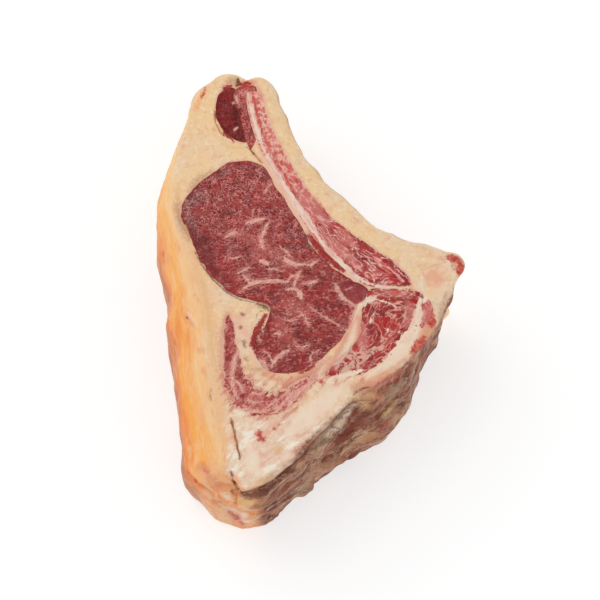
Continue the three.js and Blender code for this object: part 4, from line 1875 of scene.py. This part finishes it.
STROKES[Stain.PINK] = (
    ("rib meat's top", 9.0, 242, 90, 247, 84, 251, 88),
    ("centre glow", 11.0, 284, 300, 296, 308, 308, 318),
    ("side glow", 6.0, 274, 314, 284, 330, 290, 342),
    ("east glow", 6.0, 268, 249, 278, 257, 288, 268),
    ("upper glow", 5.0, 240, 232, 262, 240, 256, 256),
    ("pale knot", 5.0, 338, 232, 346, 238, 355, 246),
    ("rosy side", 7.0, 318, 228, 332, 242, 346, 256, 360, 268),
    ("pale ladder", 11.0, 298, 188, 307, 202, 316, 212, 325, 223),
    ("vertebra top", 3.0, 372, 296, 390, 292, 406, 296),
    ("vertebra side", 6.0, 408, 302, 411, 312, 407, 326),
    ("vertebra pale left", 8.0, 356, 314, 359, 328, 362, 342, 366, 354),
    ("strand's blush", 2.0, 226, 312, 221, 335, 220, 362, 224, 388, 234, 406),
    ("band's blush", 11.0, 246, 405, 262, 414, 284, 404, 298, 384, 318, 368),
    ("vertebra's blush", 6.0, 322, 374, 335, 362, 344, 346, 352, 326, 358, 306),
    ("edge blush", 3.4, 352, 386, 368, 381, 384, 373, 396, 365, 406, 358),
    ("eye's foot blush", 5.0, 262, 374, 285, 382, 310, 374, 330, 358),
    ("top blush", 6.0, 238, 87, 252, 84),
    ("tail's blush", 4.0, 222, 90, 229, 84, 236, 84),
    ("rib's top blush", 2.4, 257, 88, 262, 96),
    ("wet blush", 8.0, 427, 306, 428, 330, 421, 348, 408, 362),
    ("tip blush", 5.0, 440, 262, 450, 266),
    ("cap pink a", 2.4, 186, 316, 190, 322, 195, 327),
    ("cap pink b", 2.2, 200, 349, 204, 351),
    ("cap pink c", 1.8, 203, 370, 206, 375),
    ("lump", 6.0, 198, 466, 206, 470, 212, 480),
    ("lump crease", 2.0, 212, 486, 222, 486, 230, 484),
    ("corner pink", 9.0, 230, 514, 238, 518, 244, 522),
    ("rosy lump", 1.8, 374, 396, 380, 398, 384, 402),
    ("rosy edge", 8.0, 360, 389, 380, 381, 399, 370),
)
# Dark marks: painted shade in cracks, creases, notches and pores, along the fat's lip and between the tail's
# muscles, and some darker meat
STROKES[Stain.DARK] = (
    ("maroon border", 7.0, 188, 222, 196, 236, 201, 248, 209, 262, 219, 274, 230, 283),
    ("maroon patch", 9.0, 200, 238, 212, 254),
    ("loop's shade", 3.0, 263, 330, 268, 326, 266, 345),
    ("tail's dark side", 5.0, 233, 90, 235, 110, 239, 128, 243, 138),
    ("rib pore", 0.9, 366, 252, 372, 256),
    ("vertebra pore", 1.8, 371, 326, 374, 325),
    ("small pore", 0.9, 356, 345, 357, 347),
    ("lip's line", 0.8, 195, 253, 203, 267, 213, 280, 226, 292, 240, 300, 254, 303),
    ("lip's return", 0.1, 268, 311, 261, 311, 257, 314, 256, 321),
    ("crack", 1.0, 231, 418, 233, 426, 235, 431, 235, 436, 237, 441, 237, 447, 240, 458),
    ("corner crease", 2.0, 231, 472, 232, 475, 233, 478, 234, 481, 235, 484, 237, 487),
    ("sinew crack", 0.8, 246, 147, 253, 152, 257, 157, 260, 160),
    ("top notch", 2.2, 238, 79, 239, 84),
    ("top line", 0.8, 236, 80, 244, 79, 251, 82),
    ("edge crease", 1.4, 352, 396, 358, 391, 364, 388, 371, 387),
    ("dark hole", 1.6, 219, 501, 221, 502),
    ("fold crease", 2.0, 232, 488, 232, 491, 233, 494),
    ("notch", 1.4, 400, 418, 396, 424),
)
# Brown marks: painted shade in creases, grooves and beside the cap and the fat's lip, and dry brown edges of
# the eye
STROKES[Stain.BROWN] = (
    ("dry border", 6.0, 188, 208, 193, 199, 200, 190),
    ("dry patch", 4.0, 187, 214, 193, 226),
    ("dry rim", 1.0, 208, 182, 217, 175, 227, 170, 240, 168),
    ("lip's end shade", 2.4, 257, 304, 264, 306, 269, 310),
    ("island a", 1.3, 241, 314, 244, 315),
    ("island b", 1.0, 240, 327, 241, 328),
    ("island c", 1.8, 244, 341, 245, 346),
    ("island d", 1.0, 245, 357, 247, 361),
    ("crease's shade", 2.6, 231, 472, 234, 480, 238, 488, 243, 493),
    ("cap shadow", 1.2, 211, 398, 211, 390),
    ("recess line", 2.0, 240, 489, 246, 491, 262, 488, 278, 476, 294, 461, 306, 446),
    ("side line", 1.0, 427, 346, 418, 366, 408, 388),
    ("main crease", 3.0, 306, 463, 323, 460, 338, 451, 352, 440, 366, 427),
    ("crease's end", 2.4, 366, 426, 378, 416, 390, 405, 401, 396),
)
STROKES[Stain.GREY] = (
    ("vertebra low left", 8.0, 338, 366, 348, 356, 360, 350),
    ("pale core", 6.0, 342, 372, 354, 363, 366, 354, 376, 349, 384, 345),
    ("pale side", 2.2, 352, 346, 346, 356, 338, 366),
    ("lavender streak", 0.5, 421, 271, 432, 266, 446, 262),
    ("eye's lip", 1.6, 196, 252, 204, 266, 214, 279, 227, 291, 240, 298, 254, 302),
    ("lip's end", 3.6, 256, 303, 264, 306, 270, 310),
    ("grey top", 3.0, 231, 81, 235, 79),
    ("tip grey", 1.6, 464, 261, 465, 265),
    ("knob", 8.0, 300, 489, 306, 486),
    ("grey band", 9.0, 312, 452, 321, 440, 334, 424, 346, 409),
    ("olive side", 7.0, 384, 400, 394, 392, 403, 382),
)
STROKES[Stain.HONEY] = (
    ("flap's edge", 0.6, 223, 144, 229, 148, 245, 148),
    ("border line", 1.2, 202, 281, 207, 307, 210, 336, 214, 362, 221, 393),
    ("upper crease", 1.0, 178, 184, 177, 196, 182, 206),
    ("lining wrinkle", 1.2, 412, 244, 422, 248, 432, 252),
    ("honey a", 3.0, 275, 450, 280, 448),
    ("honey b", 3.5, 257, 484, 269, 477),
    ("olive fold", 7.0, 240, 501, 250, 503),
    ("cream lump a", 7.0, 386, 413, 392, 405),
)
STROKES[Stain.PEACH] = (
    ("peach patch", 4.0, 426, 278, 436, 278, 444, 280),
    ("left of the crease", 6.0, 222, 476, 226, 484),
    ("cap side", 8.0, 178, 190, 185, 228, 195, 262, 205, 296, 211, 332, 213, 372),
    ("cap side below", 9.0, 211, 372, 217, 402, 222, 426, 226, 452),
    ("upper lump", 7.0, 210, 462, 216, 470, 222, 474),
    ("cream gleam", 2.0, 362, 403, 369, 409),
    ("tan lump", 7.0, 357, 396, 366, 394, 374, 396),
    ("cream lump b", 5.0, 364, 438, 372, 434),
)
STROKES[Stain.TAN] = (
    ("eye's top shade", 3.0, 189, 190, 199, 179, 211, 171),
    ("eye's left shade", 6.0, 177, 204, 179, 216, 184, 228, 190, 239),
    ("grey line", 1.0, 244, 368, 257, 369, 268, 370),
    ("edge's tan", 2.6, 264, 483, 276, 473, 290, 461, 304, 447, 318, 432, 332, 418),
    ("tan lump's top", 8.0, 354, 391, 364, 388, 376, 387),
    ("tip's side", 2.4, 447, 294, 443, 306, 439, 318),
    ("red side", 5.0, 432, 338, 424, 360, 414, 384, 405, 402),
    ("lower tan a", 13.0, 350, 449, 366, 439, 380, 430),
    ("lower tan b", 10.0, 388, 419, 396, 411),
    ("lower pink", 13.0, 308, 474, 324, 469, 340, 462),
    ("lower left", 13.0, 270, 502, 284, 493, 300, 480),
)
STROKES[Stain.RUST] = (
    ("corner brown", 5.0, 249, 509, 256, 507, 262, 505),
    ("corner's right", 3.0, 266, 508, 263, 516, 260, 524),
    ("recess rust", 4.0, 283, 473, 296, 458, 310, 442, 326, 429, 340, 413),
    ("recess line's end", 2.4, 306, 446, 324, 431, 340, 413, 352, 400),
    ("brown slope", 10.0, 262, 508, 276, 498, 290, 486),
    ("rust band", 8.0, 372, 407, 363, 417, 352, 430, 340, 444, 326, 457),
    ("foot's dark red", 3.0, 380, 438, 392, 428, 399, 420),
    ("foot red", 3.0, 345, 460, 358, 453, 372, 445),
)
STROKES[Stain.ORANGE] = (
    ("cap's red streak", 1.0, 205, 88, 201, 97, 196, 110),
    ("crack's side", 0.4, 232, 428, 234, 438, 236, 449),
    ("crease's glow", 2.4, 234, 474, 238, 482, 242, 488),
    ("cap orange", 9.0, 177, 312, 178, 330, 180, 350),
    ("lump amber", 4.0, 192, 480, 201, 492, 212, 503),
)
STROKES[Stain.AMBER] = (
    ("cap bright", 7.0, 181, 376, 185, 398, 190, 418, 195, 438),
    ("cap amber", 4.0, 171, 222, 173, 250, 177, 280, 178, 308),
    ("cap top amber", 4.0, 168, 176, 165, 196, 163, 218),
)
STROKES[Stain.ROSE] = (
    ("inner rose", 7.0, 330, 366, 344, 350, 352, 330, 356, 310),
    ("eye's right strip", 6.5, 258, 155, 276, 180, 290, 204, 306, 230, 322, 254),
    ("eye's lower strip", 6.0, 320, 252, 334, 268, 348, 281, 362, 290, 371, 297),
    ("fork white", 6.0, 250, 310, 236, 322, 252, 340, 256, 366),
)
# Painted shade in the outer wall's recesses, grooves and dents, over the dry brown there
STROKES[Stain.PAINTED_SHADE] = (
    ("recess", 10.0, 243, 494, 254, 495, 265, 491, 274, 485),
    ("recess's end", 5.0, 274, 482, 288, 471, 300, 457, 311, 443),
    ("shaded band", 4.0, 324, 452, 332, 441, 342, 429),
    ("olive shade", 3.6, 398, 397, 406, 388, 412, 378),
)

# Fine folds of the outer wall: each one's name, its reach to each side, its rise, and its pixels
FOLDS: tuple[Stroke, ...] = (
    ("recess", 4.5, -4.0, 243, 494, 256, 494, 268, 487, 282, 476),
    ("recess line", 1.8, -0.8, 246, 492, 260, 489, 276, 479, 294, 463, 308, 448),
    ("lobe's shoulder", 2.0, -2.4, 226, 486, 234, 491),
    ("corner crease", 1.8, -3.6, 231, 474, 234, 481, 237, 487, 240, 492),
    ("left of the crease", 4.0, 2.0, 221, 476, 226, 484),
    ("pale lump", 5.0, 4.2, 224, 496, 231, 499),
    ("fold crease", 2.0, -4.6, 232, 489, 234, 496, 236, 501),
    ("olive fold", 6.0, 3.0, 241, 501, 250, 504),
    ("corner groove", 2.6, -4.2, 212, 500, 224, 506, 236, 511),
    ("corner lip", 5.0, 2.2, 226, 512, 240, 517, 252, 516),
    ("pink lump", 6.0, 2.6, 200, 468, 209, 478),
    ("lump crease", 2.4, -3.8, 213, 486, 223, 484, 231, 486),
    ("amber groove", 2.4, -3.2, 188, 474, 199, 485, 210, 493),
    ("amber lump", 6.0, 1.4, 196, 490, 206, 500),
    ("brown ridge", 5.0, 1.8, 258, 507, 274, 496, 290, 484),
    ("main crease", 3.0, -2.2, 306, 463, 323, 460, 338, 451, 352, 440, 366, 427, 390, 405),
    ("grey roll", 6.0, 2.0, 320, 450, 332, 437, 346, 420, 356, 408),
    ("upper groove", 2.2, -1.0, 330, 430, 342, 415, 354, 402),
    ("rust groove", 3.0, -1.4, 346, 430, 358, 417, 370, 404),
    ("olive dent", 3.0, -1.4, 394, 396, 404, 382),
    ("tan lump", 4.5, 1.8, 358, 397, 370, 396),
    ("lower roll", 6.0, 1.8, 324, 468, 344, 459, 362, 447, 380, 433),
    ("lower groove", 2.4, -1.2, 316, 478, 336, 470, 352, 460),
    ("left roll", 5.0, 1.0, 276, 500, 292, 488, 306, 477),
    ("side groove", 1.8, -1.0, 427, 346, 418, 366, 408, 388),
)


@dataclass
class RoastSkin:
    """The roast's visible pieces: the fat with its outer wall, and the muscles and bones in it.

    The firm fat and bone have low dunes and a lip round each sunken muscle; the lean has its bundles.
    """

    wall: OuterWall = field(default_factory=OuterWall)
    crack_step: float = 0.8
    crack_ends: float = 0.06
    crack_floor: float = 0.1
    dunes: Ripples = ((0.3, 31, 22.0), (0.14, 32, 6.0))
    dune_start: float = 5.0
    lip: float = 0.35
    lip_place: float = 1.6
    lip_width: float = 1.5
    bundles: Ripples = ((0.26, 33, 5.0), (0.14, 34, 2.3))
    bundle_start: float = 2.0
    calm_edge: float = 4.0
    hollow: float = 0.2
    marks: Marks = field(init=False)
    face: CutFace = field(init=False)

    def build(self) -> None:
        """Builds the wall, puts the marks on it and cuts the face."""
        self.wall.build()
        self.marks = Marks(self.wall)
        self.marks.place(STROKES)
        self.face = CutFace(self.wall.stations[:, :2].copy(), self.marks.on_face() + self._crack_lines())
        self.face.build()

    def _crack_lines(self) -> list[np.ndarray]:
        """Draws each crack's bottom and two lips.

        Returns:
            The lines.
        """
        lines = []
        for crack in CRACKS:
            line = along_line(np.array(crack.line, float), self.crack_step)
            way = np.gradient(line, axis=0)
            side = np.stack([-way[:, 1], way[:, 0]], 1)
            side /= np.linalg.norm(side, axis=1)[:, None]
            share = np.sin(np.pi * np.linspace(self.crack_ends, 1 - self.crack_ends, len(line)))[:, None]
            lip = side * crack.width / 2 * share
            lines += [line, line + lip, line - lip]
        return lines

    def _relief(self, region: int) -> np.ndarray:
        """Works out how high the upper face's points lie in one piece.

        Args:
            region: The piece's place in PIECES, or FAT.

        Returns:
            The height above the sawn plane for every point of the face.
        """
        flat, rim = at_height(self.face.points), self.face.rim
        if region == FAT or not PIECES[region].sink:
            relief = rippled(flat, self.dunes) * smoothstep(0, self.dune_start, rim)
            relief += self.lip * hump(rim - self.lip_place, self.lip_width)
        else:
            piece = PIECES[region]
            relief = -piece.sink * smoothstep(0, piece.softness, rim)
            strength = min(1.0, piece.sink) * smoothstep(0, self.bundle_start, rim)
            relief += rippled(flat, self.bundles) * strength
        edge = self.wall.stations[:, :2]
        away = distance_to_line(self.face.points, np.vstack([edge, edge[:1]]))
        relief *= smoothstep(0, self.calm_edge, away)
        for crack in CRACKS:
            away = distance_to_line(self.face.points, crack.line)
            relief -= crack.depth * np.clip(1 - away / (crack.width / 2 + self.crack_floor), 0, 1)
        return relief

    def inner_skin(self, region: int) -> SkinMesh:
        """Builds one muscle or bone, from the upper face through to the lower.

        Args:
            region: The piece's place in PIECES.

        Returns:
            The closed skin.
        """
        face = self.face
        used, renumbered = np.unique(face.triangles[face.regions == region], return_inverse=True)
        triangles = renumbered.reshape(-1, 3).tolist()
        flat, count = face.points[used], len(used)
        top = at_height(flat, THICKNESS + self._relief(region)[used])
        low = at_height(lowered(flat), self.hollow * smoothstep(0, self.bundle_start, face.rim[used]))
        place = {old: new for new, old in enumerate(used.tolist())}
        faces = [(a, b, c) for a, b, c in triangles]
        faces += [(c + count, b + count, a + count) for a, b, c in triangles]
        seam = [(place[a], place[b]) for a, b in face.seams[region].tolist()]
        faces += [(b, a, a + count, b + count) for a, b in seam]
        points = np.vstack([top, low])
        values = self.marks.distances(points)
        values["rim"] = np.tile(face.away_from(face.seams[region])[used], 2)
        return SkinMesh(points, faces, values)

    def fat_skin(self) -> SkinMesh:
        """Builds the fat: its cut face, outer wall, lower face and the walls round the inner pieces.

        Returns:
            The closed skin.
        """
        face, wall = self.face, self.wall
        chosen = face.triangles[face.regions == FAT]
        on_ring = {old: i for i, old in enumerate(face.ring.tolist())}
        used = np.array([old for old in np.unique(chosen).tolist() if old not in on_ring])
        start = len(wall.points)
        place = on_ring | {old: start + new for new, old in enumerate(used.tolist())}
        top = at_height(face.points[used], THICKNESS + self._relief(FAT)[used])
        seam = [(a, b) for a, b in face.seams[FAT].tolist() if not (a in on_ring and b in on_ring)]
        under_points, under_faces, under_place = self._underside(seam)
        base, last = start + len(top), start - WALL_STEPS

        def under(index: int) -> int:
            """Turns a point of the lower face into a point of the skin."""
            return last + index if index < WALL_STEPS else base + index - WALL_STEPS

        faces = wall.faces()
        faces += [(place[a], place[b], place[c]) for a, b, c in chosen.tolist()]
        faces += [(under(c), under(b), under(a)) for a, b, c in under_faces]
        faces += [(place[b], place[a], under(under_place[a]), under(under_place[b])) for a, b in seam]
        low = at_height(under_points[WALL_STEPS:])
        points = np.vstack([wall.points, top, low])
        values = self.marks.distances(points)
        for key, value in wall.values.items():
            values[key] = np.concatenate([value, np.zeros(len(top) + len(low))])
        values["under"] = np.zeros(len(points))
        values["under"][last:start] = 1
        values["under"][base:] = 1
        values["rim"] = np.concatenate([np.full(start, FAR), face.rim[used], np.full(len(low), FAR)])
        return SkinMesh(points, faces, values)

    def _underside(
        self, seam: list[tuple[int, int]]
    ) -> tuple[np.ndarray, list[tuple[int, ...]], dict[int, int]]:
        """Cuts the lower face of the fat into triangles.

        Args:
            seam: The upper face's edges round the inner pieces.

        Returns:
            Its points, its triangles, and where each point of the seam went.
        """
        ring = self.wall.points[-WALL_STEPS:, :2]
        names = sorted({i for pair in seam for i in pair})
        place = {name: WALL_STEPS + i for i, name in enumerate(names)}
        fixed = np.vstack([ring, lowered(self.face.points[names])])
        low, high = ring.min(0), ring.max(0)
        x, y = np.meshgrid(np.arange(low[0], high[0], UNDER_STEP), np.arange(low[1], high[1], UNDER_STEP))
        grid = clear_points(np.column_stack([x.ravel(), y.ravel()]), ring, fixed, UNDER_STEP / 2)
        given = np.vstack([fixed, grid])
        edges = [(i, (i + 1) % WALL_STEPS) for i in range(WALL_STEPS)]
        edges += [(place[a], place[b]) for a, b in seam]
        corners, triangles, origins = triangulated(given, edges)
        extra = [now for now, points_there in enumerate(origins) if not points_there]
        back = {now: len(given) + i for i, now in enumerate(extra)}
        back |= {now: min(points_there) for now, points_there in enumerate(origins) if points_there}
        points = np.vstack([given, corners[extra]]) if extra else given
        triangles = np.array([[back[i] for i in triangle] for triangle in triangles.tolist()])
        middles = points[triangles].mean(1)
        keep = inside(middles, ring)
        for piece in PIECES:
            keep &= ~inside((middles - LOWER_SHIFT) / LOWER_SCALE, piece.loop())
        return points, [tuple(row) for row in triangles[keep].tolist()], place

    def dress(self) -> list[bpy.types.Object]:
        """Makes every piece of the roast.

        Returns:
            The pieces.
        """
        made = []
        for region, inner in enumerate(PIECES):
            skin = self.inner_skin(region)
            piece = skin.piece(f"{inner.name}_skin", FINISHES[inner.name].material())
            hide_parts(inner.name)
            made.append(piece)
            log.info("%s: %d faces", piece.name, len(skin.faces))
        skin = self.fat_skin()
        piece = skin.piece("fat_cover_skin", BEEF_FAT.material())
        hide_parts("fat_cover")
        made.append(piece)
        log.info("%s: %d faces", piece.name, len(skin.faces))
        for piece in made:
            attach(piece, "root")
        return made


@dataclass
class Studio:
    """The pale floor, the soft lights and the camera."""

    floor_size: float = 6.0
    white: Colour = (0.5, 0.5, 0.5)
    roughness: float = 0.9
    surroundings: float = 0.62
    glow: float = 0.6
    aim: tuple[float, float, float] = (0.0, 0.0, 0.04)

    def build(self) -> None:
        """Makes the floor, the lights, the surroundings and the camera."""
        self._floor()
        self._lamp("key_light", place=(-0.9, 0.7, 1.7), size=1.5, watts=10.0)
        self._lamp("fill_light", place=(0.9, -1.3, 1.5), size=1.8, watts=4.0)
        self._surroundings()
        self._camera()

    def _floor(self) -> None:
        """Makes the floor that the roast lies on."""
        half = self.floor_size / 2
        mesh = bpy.data.meshes.new("floor")
        corners = [(-half, -half, 0), (half, -half, 0), (half, half, 0), (-half, half, 0)]
        mesh.from_pydata(corners, [], [(0, 1, 2, 3)])
        g = Graph("floor_white")
        g.feed(g.shader, {
            "Base Color": self.white, "Roughness": self.roughness,
            "Emission Color": (1.0, 1.0, 1.0), "Emission Strength": self.glow,
        })
        mesh.materials.append(g.material)
        floor = placed("floor", mesh)

    def _lamp(self, name: str, place: tuple[float, float, float], size: float, watts: float) -> None:
        """Hangs one soft square light that faces the roast.

        Args:
            name: The light's name.
            place: Where it hangs, in metres.
            size: Its side in metres.
            watts: Its power.
        """
        data = bpy.data.lights.new(name, "AREA")
        data.shape = "SQUARE"
        data.size = size
        data.energy = watts
        lamp = placed(name, data)
        lamp.location = place
        lamp.rotation_euler = (Vector(self.aim) - Vector(place)).to_track_quat("-Z", "Y").to_euler()

    def _surroundings(self) -> None:
        """Fills the room with even white light."""
        world = bpy.data.worlds.new("white_room")
        world.use_nodes = True
        background = world.node_tree.nodes["Background"]
        background.inputs["Color"].default_value = (1, 1, 1, 1)
        background.inputs["Strength"].default_value = self.surroundings
        bpy.context.scene.world = world
        bpy.context.scene.view_settings.view_transform = "Standard"

    @staticmethod
    def _camera() -> None:
        """Sets up the camera at the photograph's angle."""
        data = bpy.data.cameras.new("camera")
        data.lens = VIEW.lens
        data.sensor_width = VIEW.sensor
        camera = placed("camera", data)
        camera.location = to_metres(VIEW.eye())
        camera.rotation_euler = (math.radians(90 - VIEW.elevation), 0, 0)
        bpy.context.scene.camera = camera


def main() -> None:
    """Builds the roast and its studio, and notes the sizes."""
    logging.basicConfig(level=logging.INFO, format="%(message)s")
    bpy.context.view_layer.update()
    skin = RoastSkin()
    skin.build()
    log.info("cut face: %d triangles", len(skin.face.triangles))
    skin.dress()
    Studio().build()
    bpy.context.view_layer.update()


if __name__ == "__main__":
    main()
